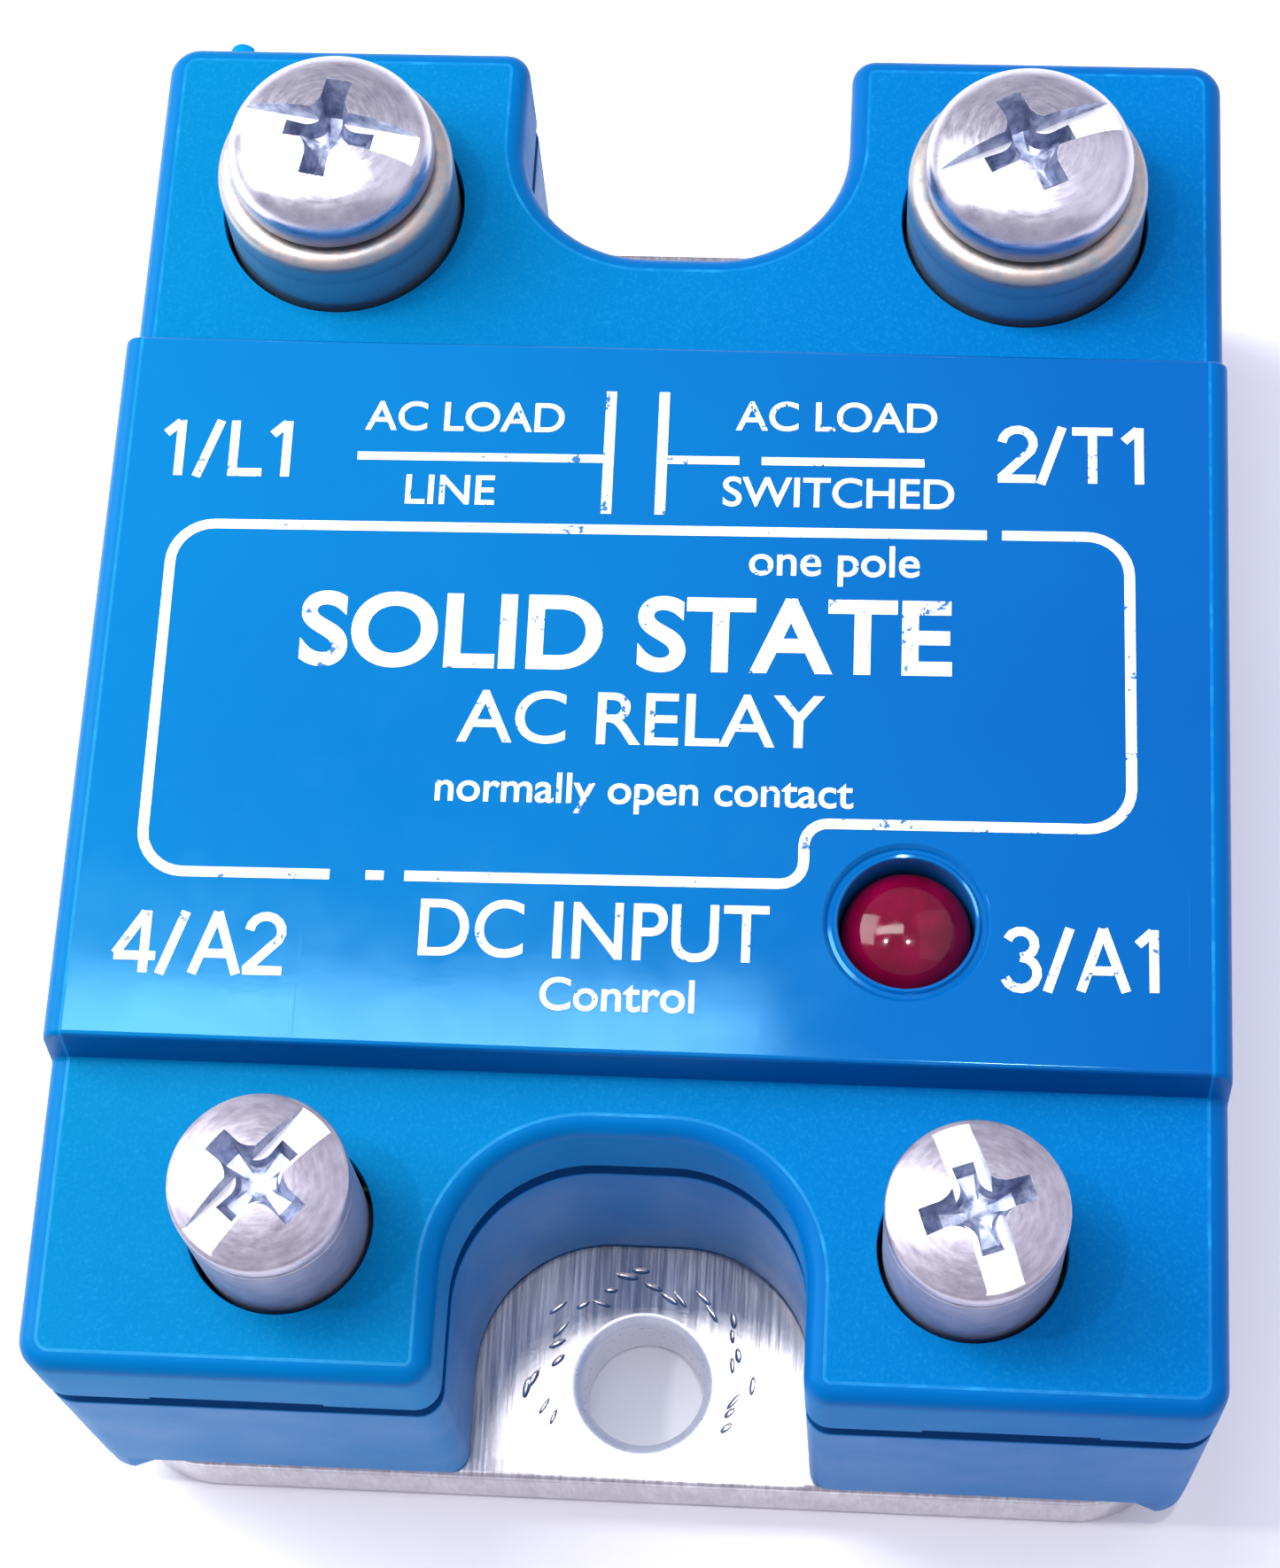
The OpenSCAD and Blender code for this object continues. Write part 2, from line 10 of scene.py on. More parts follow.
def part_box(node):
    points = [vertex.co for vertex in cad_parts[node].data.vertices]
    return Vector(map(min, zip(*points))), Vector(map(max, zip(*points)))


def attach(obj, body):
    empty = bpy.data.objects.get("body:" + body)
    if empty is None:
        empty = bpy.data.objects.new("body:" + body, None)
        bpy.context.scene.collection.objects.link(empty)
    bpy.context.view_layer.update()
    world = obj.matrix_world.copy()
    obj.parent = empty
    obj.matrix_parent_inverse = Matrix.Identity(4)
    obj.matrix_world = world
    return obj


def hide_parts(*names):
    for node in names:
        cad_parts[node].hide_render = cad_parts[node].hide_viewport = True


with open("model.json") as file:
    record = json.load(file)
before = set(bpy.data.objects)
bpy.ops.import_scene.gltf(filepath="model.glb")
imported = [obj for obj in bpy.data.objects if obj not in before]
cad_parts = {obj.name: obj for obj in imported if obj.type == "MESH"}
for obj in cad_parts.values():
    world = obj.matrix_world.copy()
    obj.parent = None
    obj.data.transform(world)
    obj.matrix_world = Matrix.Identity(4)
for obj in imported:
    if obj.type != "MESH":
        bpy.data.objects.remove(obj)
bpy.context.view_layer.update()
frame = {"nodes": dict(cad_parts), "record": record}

# Lengths are in millimetres, in the frame's axes, until a mesh is made in metres.
MM = 0.001
HOUSING = "housing"

# The camera, solved from the housing's corners in the photo: its place and its turns in degrees
CAMERA_LENS = 82.89
CAMERA_PLACE = (9.15, -57.83, 152.03)
CAMERA_TURN = (22.16, 2.90, 3.10)

# The floor under the part
FLOOR_REACH = 4000
FLOOR_Z = -0.02

# The housing's outline and mouldings
CORNER_R = 1.3
NOTCH_W = 13.8
NOTCH_DEPTH = 9.9
NOTCH_R = 5.5
MOUTH_R = 1.0
SEAM_Z = 16.4
SEAM_GAP = 0.4
PANEL_RISE = 2.0
FRONT_DECK = 12.4
REAR_DECK = 15.4
TOP_FILLET = 0.7
LIP_INSET = 1.2
WALL = 2.2
FOOT_WALL = 3.0
ROOF_T = 1.8
POST_GAP = 0.2
DRAFT = 0.08
GROOVE_DEPTH = 0.3
GROOVE_H = 0.75
LATCH_HALF_W = 3.2
GATE_INSET = 3
PLATE_R = 4.2

# The circuit board that the case carries
BOARD_Z = 11.5
BOARD_T = 1.6

# The status light: its foot's flange, the ring round its hole, and its dome's height to its radius
LENS_FLANGE = 0.4
LENS_RING = 0.65
LENS_DOME = 0.62

# The screws: slot, thread, the seat's radius to the head's, and the gap under the head
SLOT_W = 1.45
SLOT_DEPTH = 0.95
THREAD_PITCH = 0.794
THREAD_DEPTH = 0.42
SEAT_SHARE = 0.86
HEAD_GAP = 0.12

# The printing: its turn in degrees, the ink's lower and upper face above the panel, and the
# step in height that keeps crossing strokes apart
PRINT_TILT = 0.7
INK_LOW = 0.003
INK_HIGH = 0.02
INK_STEP = 0.004

# Bands of the cover's top edge, which take a painted shade, and the strips of its step that take the deck's
# finish and the step's painted shade
FILLET_STEPS = 7
DECK_STRIPS = 3
STEP_STRIPS = 9

# Colour of the plastic's reflections, on its dull and on its glossy faces
DULL_TINT = (0.1, 0.6, 1.0)
GLINT_TINT = (0.3, 0.78, 1.0)

# Material slots of the cover, the case, the plate and the screws
SKIRT, DECK, PANEL, SHADED, WORN_EDGE_AND_HIGHLIGHT, SHADED_STEP, SHADED_RIM = range(7)
CASE_SIDE, CASE_SEAM_SHADE = range(2)
PLATE_FACE, PLATE_CUT = range(2)
SCREW_BODY, SLOT_FLOOR_LIGHT, RECESS_SHADE = range(3)


def box_mm(node):
    """A CAD node's lowest and highest corners, in millimetres."""
    low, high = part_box(node)
    return low / MM, high / MM


CASE_LOW, CASE_HIGH = box_mm("case_frame")
COVER_LOW, COVER_HIGH = box_mm("cover")
PLATE_HIGH = box_mm("base_plate")[1]
HALF_W = CASE_HIGH.x
HALF_L = CASE_HIGH.y
PANEL_Z = COVER_HIGH.z
DECK_Z = PANEL_Z - PANEL_RISE
LIP_Z = COVER_LOW.z
CASE_Z = PLATE_HIGH.z + 0.2
PANEL_Y0 = FRONT_DECK - HALF_L
PANEL_Y1 = HALF_L - REAR_DECK


def axis_of(node):
    """Centre in plan, radius, lowest and highest point of an upright round node."""
    low, high = box_mm(node)
    centre = (low + high) / 2
    return centre.x, centre.y, (high.x - low.x) / 2, low.z, high.z


# ---- Camera, lights and floor ----

def make_camera():
    data = bpy.data.cameras.new("view_camera")
    data.lens = CAMERA_LENS
    data.sensor_width = 36
    data.clip_start = 0.005
    camera = bpy.data.objects.new("view_camera", data)
    camera.location = Vector(CAMERA_PLACE) * MM
    camera.rotation_euler = [math.radians(a) for a in CAMERA_TURN]
    bpy.context.scene.collection.objects.link(camera)
    bpy.context.scene.camera = camera


def area_light(name, place, target, size, radiance, colour=(1.0, 1.0, 1.0)):
    """A soft rectangular light in metres; radiance is the brightness of its face."""
    data = bpy.data.lights.new(name, "AREA")
    data.shape = "RECTANGLE"
    data.size, data.size_y = size
    data.energy = radiance * math.pi * size[0] * size[1]
    data.color = colour
    light = bpy.data.objects.new(name, data)
    light.location = place
    aim = Vector(target) - Vector(place)
    light.rotation_euler = aim.to_track_quat("-Z", "Y").to_euler()
    bpy.context.scene.collection.objects.link(light)


def make_lights():
    """A key light, a window overhead, a weak fill, and two lamps for the small highlights."""
    middle = (0, 0, 0.015)
    lamp = (0.012, 0.012)
    area_light("key_left", (-0.21, 0.060, 0.19), middle, (0.18, 0.16), 8.2)
    area_light("window", (-0.134, 0.0755, 0.40), (-0.134, 0.0755, 0), (0.253, 0.075), 14)
    area_light("fill", (0.30, 0.05, 0.30), middle, (0.50, 0.50), 0.5, (0.93, 0.92, 1.0))
    area_light("lamp_left", (-0.190, -0.030, 0.50), middle, lamp, 850)
    area_light("lamp_right", (0.030, -0.030, 0.50), middle, lamp, 850)
    world = bpy.data.worlds.new("studio")
    world.use_nodes = True
    background = world.node_tree.nodes["Background"]
    background.inputs["Color"].default_value = (0.84, 0.82, 1.0, 1)
    background.inputs["Strength"].default_value = 0.6
    bpy.context.scene.world = world
    bpy.context.scene.view_settings.view_transform = "Standard"


# ---- Mesh making ----

def finish_mesh(name, bm, materials, body=HOUSING, smooth=35, weighted=True, place=(0, 0, 0)):
    """Turns a bmesh in millimetres into a shaded piece that rides on a body."""
    bmesh.ops.scale(bm, vec=(MM, MM, MM), verts=bm.verts)
    bmesh.ops.recalc_face_normals(bm, faces=bm.faces)
    mesh = bpy.data.meshes.new(name)
    bm.to_mesh(mesh)
    bm.free()
    for material in materials:
        mesh.materials.append(material)
    piece = bpy.data.objects.new(name, mesh)
    piece.location = Vector(place) * MM
    bpy.context.scene.collection.objects.link(piece)
    if body:
        shade(piece, smooth, weighted)
        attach(piece, body)
    return piece


def shade(piece, angle, weighted=True):
    """Smooth shading, with edges sharper than angle, in degrees, kept sharp."""
    mesh = piece.data
    mesh.polygons.foreach_set("use_smooth", [True] * len(mesh.polygons))
    mesh.set_sharp_from_angle(angle=math.radians(angle))
    if weighted:
        piece.modifiers.new("normals", "WEIGHTED_NORMAL").keep_sharp = True


def add_ring(bm, points):
    return [bm.verts.new(p) for p in points]


def bridge(bm, low, high, slot=0):
    """Quads between two rings of equal count."""
    count = len(low)
    for i in range(count):
        j = (i + 1) % count
        face = bm.faces.new((low[i], low[j], high[j], high[i]))
        face.material_index = slot


def skin(bm, rings, slot=0):
    """A closed body over rings of equal count."""
    for low, high in zip(rings, rings[1:]):
        bridge(bm, low, high, slot)
    bm.faces.new(list(reversed(rings[0]))).material_index = slot
    bm.faces.new(rings[-1]).material_index = slot


def lathe(bm, profile, place=(0, 0, 0), sides=96, slot=0):
    """Turns a profile of (radius, height) points about the vertical; radius 0 is a pole."""
    centre = Vector(place)
    rings = []
    for radius, height in profile:
        if radius < 1e-6:
            rings.append([bm.verts.new(centre + Vector((0, 0, height)))])
            continue
        ring = []
        for k in range(sides):
            a = 2 * math.pi * k / sides
            spot = Vector((radius * math.cos(a), radius * math.sin(a), height))
            ring.append(bm.verts.new(centre + spot))
        rings.append(ring)
    for low, high in zip(rings, rings[1:]):
        for k in range(sides):
            n = (k + 1) % sides
            corners = [low[k % len(low)], low[n % len(low)], high[n % len(high)], high[k % len(high)]]
            corners = list(dict.fromkeys(corners))
            if len(corners) > 2:
                bm.faces.new(corners).material_index = slot


def fillet(radius_in, height, size, start, end, steps=6):
    """Points on a round edge: centre (radius_in, height), from start to end degrees."""
    points = []
    for k in range(steps + 1):
        a = math.radians(start + (end - start) * k / steps)
        points.append((radius_in + size * math.cos(a), height + size * math.sin(a)))
    return points


def solid_box(bm, low, high, slot=0):
    """A box given by two corners."""
    corners = [
        bm.verts.new((x, y, z))
        for z in (low[2], high[2]) for y in (low[1], high[1]) for x in (low[0], high[0])
    ]
    for ids in ((0, 2, 3, 1), (4, 5, 7, 6), (0, 1, 5, 4), (2, 6, 7, 3), (0, 4, 6, 2), (1, 3, 7, 5)):
        bm.faces.new([corners[i] for i in ids]).material_index = slot


def boolean(piece, bm, operation="DIFFERENCE"):
    """Cuts (or joins) a bmesh in millimetres from a piece, and applies the result."""
    cutter = finish_mesh("cutter", bm, piece.data.materials, body=None)
    modifier = piece.modifiers.new("cut", "BOOLEAN")
    modifier.operation = operation
    modifier.solver = "EXACT"
    modifier.use_self = True
    modifier.object = cutter
    bpy.context.view_layer.update()
    graph = bpy.context.evaluated_depsgraph_get()
    mesh = bpy.data.meshes.new_from_object(piece.evaluated_get(graph), depsgraph=graph)
    piece.modifiers.remove(modifier)
    old = piece.data
    piece.data = mesh
    bpy.data.meshes.remove(old)
    bpy.data.objects.remove(cutter)


def arc(centre_x, centre_y, radius, start, end, steps):
    """Points in plan on a circle, from start to end degrees."""
    points = []
    for k in range(steps + 1):
        a = math.radians(start + (end - start) * k / steps)
        points.append((centre_x + radius * math.cos(a), centre_y + radius * math.sin(a)))
    return points


def front_path(inset):
    """The front half of the housing's outline, from its left corner to its right corner."""
    half_w = HALF_W - inset
    half_l = HALF_L - inset
    corner = max(CORNER_R - inset, 0.1)
    mouth = max(MOUTH_R - inset, 0.1)
    notch_x = NOTCH_W / 2 + inset
    head_x = NOTCH_W / 2 - NOTCH_R
    head_y = NOTCH_DEPTH - HALF_L - NOTCH_R
    head_r = NOTCH_R + inset
    path = arc(corner - half_w, corner - half_l, corner, 180, 270, 8)
    path += arc(-notch_x - mouth, mouth - half_l, mouth, 270, 360, 6)
    path += arc(-head_x, head_y, head_r, 180, 90, 16)
    path += arc(head_x, head_y, head_r, 90, 0, 16)
    path += arc(notch_x + mouth, mouth - half_l, mouth, 180, 270, 6)
    path += arc(half_w - corner, corner - half_l, corner, 270, 360, 8)
    return path


def outline(inset, samples=()):
    """The housing's whole outline, anticlockwise, with extra points along both sides."""
    front = front_path(inset)
    right = [(HALF_W - inset, y) for y in samples]
    back = [(-x, -y) for x, y in front]
    left = [(inset - HALF_W, y) for y in reversed(samples)]
    return front + right + back + left


def flat_ring(bm, inset, z):
    return add_ring(bm, [(x, y, z) for x, y in outline(inset)])


# ---- Materials ----

class Nodes:
    """A material's node tree with short calls for the nodes that these finishes use."""

    def __init__(self, name):
        self.material = bpy.data.materials.new(name)
        self.material.use_nodes = True
        self.tree = self.material.node_tree
        self.shader = self.tree.nodes["Principled BSDF"]
        self.coords = self.tree.nodes.new("ShaderNodeTexCoord").outputs["Object"]

    def set(self, **values):
        for key, value in values.items():
            self.shader.inputs[key.replace("_", " ")].default_value = value

    def link(self, source, target):
        self.tree.links.new(source, target)

    def scaled(self, x, y, z, turn=0):
        node = self.tree.nodes.new("ShaderNodeMapping")
        node.inputs["Scale"].default_value = (x, y, z)
        node.inputs["Rotation"].default_value = (0, 0, math.radians(turn))
        self.link(self.coords, node.inputs["Vector"])
        return node.outputs["Vector"]

    def noise(self, scale, detail=3, roughness=0.5, vector=None):
        node = self.tree.nodes.new("ShaderNodeTexNoise")
        node.inputs["Scale"].default_value = scale
        node.inputs["Detail"].default_value = detail
        node.inputs["Roughness"].default_value = roughness
        self.link(vector or self.coords, node.inputs["Vector"])
        return node.outputs["Fac"]

    def ramp(self, value, low, high, from_low=0.0, from_high=1.0):
        """Maps a value from one range to another, held at both ends."""
        node = self.tree.nodes.new("ShaderNodeMapRange")
        node.inputs["From Min"].default_value = from_low
        node.inputs["From Max"].default_value = from_high
        node.inputs["To Min"].default_value = low
        node.inputs["To Max"].default_value = high
        self.link(value, node.inputs["Value"])
        return node.outputs["Result"]

    def math(self, operation, a, b):
        node = self.tree.nodes.new("ShaderNodeMath")
        node.operation = operation
        for value, socket in ((a, node.inputs[0]), (b, node.inputs[1])):
            if isinstance(value, (int, float)):
                socket.default_value = value
            else:
                self.link(value, socket)
        return node.outputs["Value"]

    def mix(self, factor, a, b):
        """A colour between a and b."""
        node = self.tree.nodes.new("ShaderNodeMix")
        node.data_type = "RGBA"
        self.link(factor, node.inputs["Factor"])
        for value, socket in ((a, node.inputs["A"]), (b, node.inputs["B"])):
            if isinstance(value, tuple):
                socket.default_value = (*value, 1)
            else:
                self.link(value, socket)
        return node.outputs["Result"]

    def axis(self, name):
        node = self.tree.nodes.new("ShaderNodeSeparateXYZ")
        self.link(self.coords, node.inputs["Vector"])
        return node.outputs[name]

    def turned(self, across, along):
        """Coordinates for marks that run round the vertical axis, as on a turned part."""
        split = self.tree.nodes.new("ShaderNodeSeparateXYZ")
        self.link(self.coords, split.inputs["Vector"])
        x, y, z = split.outputs
        square = self.math("ADD", self.math("MULTIPLY", x, x), self.math("MULTIPLY", y, y))
        radius = self.math("SQRT", square, 0.0)
        join = self.tree.nodes.new("ShaderNodeCombineXYZ")
        self.link(self.math("MULTIPLY", self.math("ADD", radius, z), across), join.inputs["X"])
        self.link(self.math("MULTIPLY", self.math("DIVIDE", x, radius), along), join.inputs["Y"])
        self.link(self.math("MULTIPLY", self.math("DIVIDE", y, radius), along), join.inputs["Z"])
        return join.outputs["Vector"]

    def bump(self, value, strength, distance_mm, after=None):
        node = self.tree.nodes.new("ShaderNodeBump")
        node.inputs["Strength"].default_value = strength
        node.inputs["Distance"].default_value = distance_mm * MM
        self.link(value, node.inputs["Height"])
        if after:
            self.link(after, node.inputs["Normal"])
        return node.outputs["Normal"]

    def colour(self, value):
        self.link(value, self.shader.inputs["Base Color"])

    def roughness(self, value):
        self.link(value, self.shader.inputs["Roughness"])

    def normal(self, value):
        self.link(value, self.shader.inputs["Normal"])


def scratches(nodes, turn, scale, amount):
    """Thin straight marks: a stretched noise, kept only where it is strongest."""
    lines = nodes.noise(1, 2, 0.6, nodes.scaled(scale, scale / 60, scale, turn))
    return nodes.ramp(lines, 0, 1, 1 - amount, 1 - amount + 0.02)


def plastic(
    name, left, right, rough, level, grain=2600, grain_mm=0.003, tint=DULL_TINT, marks=0.0, speckle=0.0
):
    """Moulded blue plastic, with a painted gradient of light across it, lighter on its left where the light
    falls: smudged gloss and a moulded grain.
    """
    nodes = Nodes(name)
    # Painted light: the tone runs from the left colour to the right colour across the housing, as the light
    # falls.
    painted_light_across = nodes.ramp(nodes.axis("X"), 0, 1, -HALF_W * MM, HALF_W * MM)
    drift = nodes.ramp(nodes.noise(60, 4), -0.12, 0.12, 0.3, 0.7)
    tone = nodes.mix(nodes.math("ADD", painted_light_across, drift), left, right)
    fine = nodes.noise(grain, 3, 0.6)
    if speckle:
        lit = tuple(min(1, 1.35 * c + 0.01) for c in left)
        tone = nodes.mix(nodes.ramp(fine, 0, speckle, 0.5, 0.72), tone, lit)
    nodes.colour(tone)
    gloss = nodes.ramp(nodes.noise(220, 5, 0.65), rough[0], rough[1], 0.35, 0.7)
    relief = nodes.bump(fine, 0.6, grain_mm)
    relief = nodes.bump(nodes.noise(300, 2), 0.2, 0.012, relief)
    if marks:
        ways = scratches(nodes, 31, 1900, marks), scratches(nodes, -58, 1500, marks)
        worn = nodes.math("MAXIMUM", *ways)
        gloss = nodes.math("ADD", gloss, nodes.math("MULTIPLY", worn, 0.2))
        relief = nodes.bump(worn, 0.3, 0.002, relief)
    nodes.roughness(gloss)
    nodes.normal(relief)
    nodes.set(Specular_Tint=(*tint, 1), Specular_IOR_Level=level)
    return nodes.material


def turned_metal(name, dark, light, rough, metallic=1.0, relief_mm=0.004, foot_shade_z=0.0):
    """Plated turned metal: satin, with fine marks round the axis, a few stains, and painted shade darkening
    its foot.
    """
    nodes = Nodes(name)
    marks = nodes.noise(1, 4, 0.6, nodes.turned(9000, 3))
    stains = nodes.noise(900, 5, 0.7)
    tone = nodes.math("ADD", nodes.math("MULTIPLY", marks, 0.6), nodes.math("MULTIPLY", stains, 0.4))
    plated = nodes.mix(nodes.ramp(tone, 0, 1, 0.35, 0.65), dark, light)
    satin = nodes.ramp(tone, rough[0], rough[1], 0.35, 0.65)
    if foot_shade_z:
        # Painted shade: the colour darkens towards the foot of the head, above the post.
        foot = nodes.ramp(nodes.axis("Z"), 0.85, 0, 0.25 * foot_shade_z * MM, foot_shade_z * MM)
        plated = nodes.mix(foot, plated, (0.16, 0.18, 0.27))
        satin = nodes.math("ADD", satin, nodes.math("MULTIPLY", foot, 0.25))
    nodes.colour(plated)
    nodes.roughness(satin)
    relief = nodes.bump(marks, 0.4, relief_mm)
    nodes.normal(nodes.bump(stains, 0.3, 0.006, relief))
    nodes.set(Metallic=metallic)
    return nodes.material


def pressed_metal(name, dark, light, metallic, relief_mm):
    """A slot's floor or a recess: rougher than the head round it, in tones that paint light on the floor and
    shade in the recess.
    """
    nodes = Nodes(name)
    rough = nodes.noise(1800, 5, 0.65)
    nodes.colour(nodes.mix(nodes.ramp(rough, 0, 1, 0.35, 0.65), dark, light))
    nodes.roughness(nodes.ramp(rough, 0.3, 0.5, 0.3, 0.7))
    nodes.normal(nodes.bump(rough, 0.5, relief_mm))
    nodes.set(Metallic=metallic)
    return nodes.material


def post_metal(name, plate, brass, top_z):
    """Nickel-plated brass, worn through to the brass round the top rim."""
    nodes = Nodes(name)
    fine = nodes.noise(1, 4, 0.6, nodes.turned(7000, 4))
    near_rim = nodes.ramp(nodes.axis("Z"), 0, 1, (top_z - 0.8) * MM, (top_z - 0.1) * MM)
    patchy = nodes.ramp(nodes.noise(1400, 5, 0.7), 0.3, 1, 0.35, 0.6)
    wear = nodes.math("MULTIPLY", near_rim, patchy)
    nodes.colour(nodes.mix(wear, plate, brass))
    satin = nodes.ramp(fine, 0.26, 0.42, 0.3, 0.7)
    nodes.roughness(nodes.math("ADD", satin, nodes.math("MULTIPLY", wear, 0.14)))
    nodes.normal(nodes.bump(patchy, 0.4, 0.02, nodes.bump(fine, 0.4, 0.006)))
    nodes.set(Metallic=0.85)
    return nodes.material


def simple(name, colour, other, rough, scale=900, metallic=0.0, relief_mm=0.01):
    """A finish for an inner piece: two tones, drifting gloss and a light grain."""
    nodes = Nodes(name)
    grain = nodes.noise(scale, 4, 0.6)
    nodes.colour(nodes.mix(grain, colour, other))
    nodes.roughness(nodes.ramp(grain, rough - 0.08, rough + 0.08, 0.3, 0.7))
    nodes.normal(nodes.bump(grain, 0.4, relief_mm))
    nodes.set(Metallic=metallic)
    return nodes.material


def lens_red():
    """Tinted clear plastic, a little cloudy and smudged."""
    nodes = Nodes("lens_red")
    cloud = nodes.ramp(nodes.noise(900, 3), 0, 1, 0.35, 0.65)
    nodes.colour(nodes.mix(cloud, (0.15, 0.0, 0.02), (0.22, 0.0, 0.035)))
    nodes.roughness(nodes.ramp(nodes.noise(2600, 4), 0.05, 0.16, 0.35, 0.7))
    nodes.normal(nodes.bump(nodes.noise(1800, 3), 0.15, 0.01))
    nodes.set(IOR=1.52, Transmission_Weight=0.25, Specular_IOR_Level=0.25)
    return nodes.material


def ink():
    """White pad print, chipped through to the blue in places."""
    nodes = Nodes("white_ink")
    chips = nodes.math("MULTIPLY", nodes.noise(520, 5, 0.75), nodes.noise(2600, 4, 0.7))
    chipped = nodes.ramp(chips, 1, 0, 0.16, 0.172)
    tone = nodes.mix(nodes.noise(700, 3), (0.80, 0.82, 0.84), (0.92, 0.93, 0.93))
    nodes.colour(nodes.mix(chipped, tone, (0.0, 0.13, 0.38)))
    nodes.roughness(nodes.ramp(nodes.noise(3000, 3), 0.3, 0.5, 0.3, 0.7))
    nodes.normal(nodes.bump(chips, 0.4, 0.01))
    return nodes.material


def aluminium():
    """Rolled plate: streaks and fine grooves along Y."""
    nodes = Nodes("rolled_aluminium")
    fine = nodes.noise(1, 3, 0.6, nodes.scaled(9000, 260, 900))
    broad = nodes.noise(1, 4, 0.7, nodes.scaled(1500, 90, 600))
    streak = nodes.ramp(nodes.math("MULTIPLY", fine, broad), 0, 1, 0.1, 0.42)
    nodes.colour(nodes.mix(streak, (0.42, 0.39, 0.42), (0.78, 0.75, 0.78)))
    nodes.roughness(nodes.ramp(fine, 0.16, 0.26, 0.3, 0.7))
    relief = nodes.bump(fine, 0.4, 0.004)
    relief = nodes.bump(broad, 0.3, 0.006, relief)
    nodes.normal(nodes.bump(nodes.noise(1500, 4), 0.2, 0.008, relief))
    nodes.set(Metallic=0.9)
    return nodes.material


def cut_edge():
    """Freshly cut aluminium: bright and matt, with marks round the hole."""
    nodes = Nodes("cut_aluminium")
    fine = nodes.noise(3800, 4, 0.6)
    nodes.colour(nodes.mix(fine, (0.80, 0.79, 0.84), (0.95, 0.94, 0.97)))
    nodes.roughness(nodes.ramp(fine, 0.25, 0.4, 0.3, 0.7))
    nodes.normal(nodes.bump(fine, 0.4, 0.004))
    nodes.set(Metallic=0.35)
    return nodes.material


# ---- Housing ----

def step_profile():
    """(y, rise) points across the cover: front deck, raised panel, rear deck."""
    foot = 0.2
    edge = 0.24
    lean = 0.24
    points = []
    for k in range(5):
        a = math.radians(90 * k / 4)
        points.append((PANEL_Y0 - lean - foot + foot * math.sin(a), foot * (1 - math.cos(a))))
    for k in range(8):
        a = math.radians(90 * k / 7)
        points.append((PANEL_Y0 + edge * (1 - math.cos(a)), PANEL_RISE - edge * (1 - math.sin(a))))
    middle = PANEL_Y0 + PANEL_Y1
    return points + [(middle - y, rise) for y, rise in reversed(points)]


def cover_cap(bm, ring, front_count, profile):
    """Closes the top ring: a deck at each end, and strips across the steps and the panel."""
    count = len(profile)
    right = ring[front_count:front_count + count]
    back = ring[front_count + count:2 * front_count + count]
    left = list(reversed(ring[2 * front_count + count:]))
    bm.faces.new([*ring[:front_count], right[0], left[0]]).material_index = DECK
    bm.faces.new([*back, left[-1], right[-1]]).material_index = DECK
    for k in range(count - 1):
        face = bm.faces.new((left[k], right[k], right[k + 1], left[k + 1]))
        from_end = min(k, count - 2 - k)
        face.material_index = PANEL
        # Strips of each step next to the decks take the deck's finish, and the rest of the step takes a
        # painted shade.
        if from_end < STEP_STRIPS:
            face.material_index = DECK if from_end < DECK_STRIPS else SHADED_STEP


def cover_rings(bm, ys, rises):
    """The cover's rings: down inside it, round its lip, and up outside it to the edge of its top."""
    def low_ring(inset, z):
        return add_ring(bm, [(x, y, z) for x, y in outline(inset, ys)])

    def top_ring(inset, drop):
        points = zip(outline(inset, ys), rises)
        return add_ring(bm, [(x, y, DECK_Z + rise - drop) for (x, y), rise in points])

    soft = 0.22
    rings = [
        low_ring(WALL, DECK_Z - ROOF_T),
        low_ring(WALL, LIP_Z),
        low_ring(LIP_INSET, LIP_Z),
        low_ring(LIP_INSET, SEAM_Z),
        low_ring(soft, SEAM_Z),
        low_ring(soft * 0.3, SEAM_Z + soft * 0.3),
        low_ring(0, SEAM_Z + soft),
        low_ring(0, DECK_Z - 1.6),
    ]
    for k in range(FILLET_STEPS + 1):
        a = math.radians(90 * k / FILLET_STEPS)
        rings.append(top_ring(TOP_FILLET * (1 - math.cos(a)), TOP_FILLET * (1 - math.sin(a))))
    rings.append(top_ring(TOP_FILLET + 0.13, 0))
    return rings


def cover_slot(k, count):
    """The finish of the kth of the cover's bands, counted as its rings are."""
    if k < 4:
        return SHADED
    # The last band, a thin line at the edge of the top, is partly wear and partly a painted highlight.
    if k == count - 1:
        return WORN_EDGE_AND_HIGHLIGHT
    # The round of the top edge takes a darker blue: painted shade.
    return SHADED_RIM if k >= count - FILLET_STEPS else SKIRT


def make_cover(materials):
    """The upper shell: a thin wall and roof with two decks, a raised panel and its holes."""
    profile = step_profile()
    ys = [y for y, _ in profile]
    steps = [rise for _, rise in profile]
    front_count = len(front_path(0))
    flat = [0] * front_count
    bm = bmesh.new()
    rings = cover_rings(bm, ys, flat + steps + flat + steps[::-1])
    for k, (low, high) in enumerate(zip(rings, rings[1:])):
        bridge(bm, low, high, cover_slot(k, len(rings) - 1))
    bm.faces.new(list(reversed(rings[0])))
    cover_cap(bm, rings[-1], front_count, profile)
    cover = finish_mesh("cover_shell", bm, materials, body=None)
    boolean(cover, cover_cutters())
    boolean(cover, gate_nub(), "UNION")
    shade(cover, 32)
    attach(cover, HOUSING)
    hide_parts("cover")


def post_hole(bm, x, y, radius):
    """A cutter for a post's upright hole in a deck, whose upper edge is a little rounded."""
    rim = 0.06
    low = LIP_Z - 1
    above = DECK_Z + 1.5
    edge = fillet(radius + rim, DECK_Z - rim, rim, 180, 90)
    profile = [(0, low), (radius, low), *edge, (radius + rim, above), (0, above)]
    lathe(bm, profile, (x, y, 0))


def latch_places():
    """Each snap hook's middle along X, and the end of the housing that it is on."""
    middle = (HALF_W + NOTCH_W / 2) / 2
    return [(side * middle, end) for side in (-1, 1) for end in (-1, 1)]


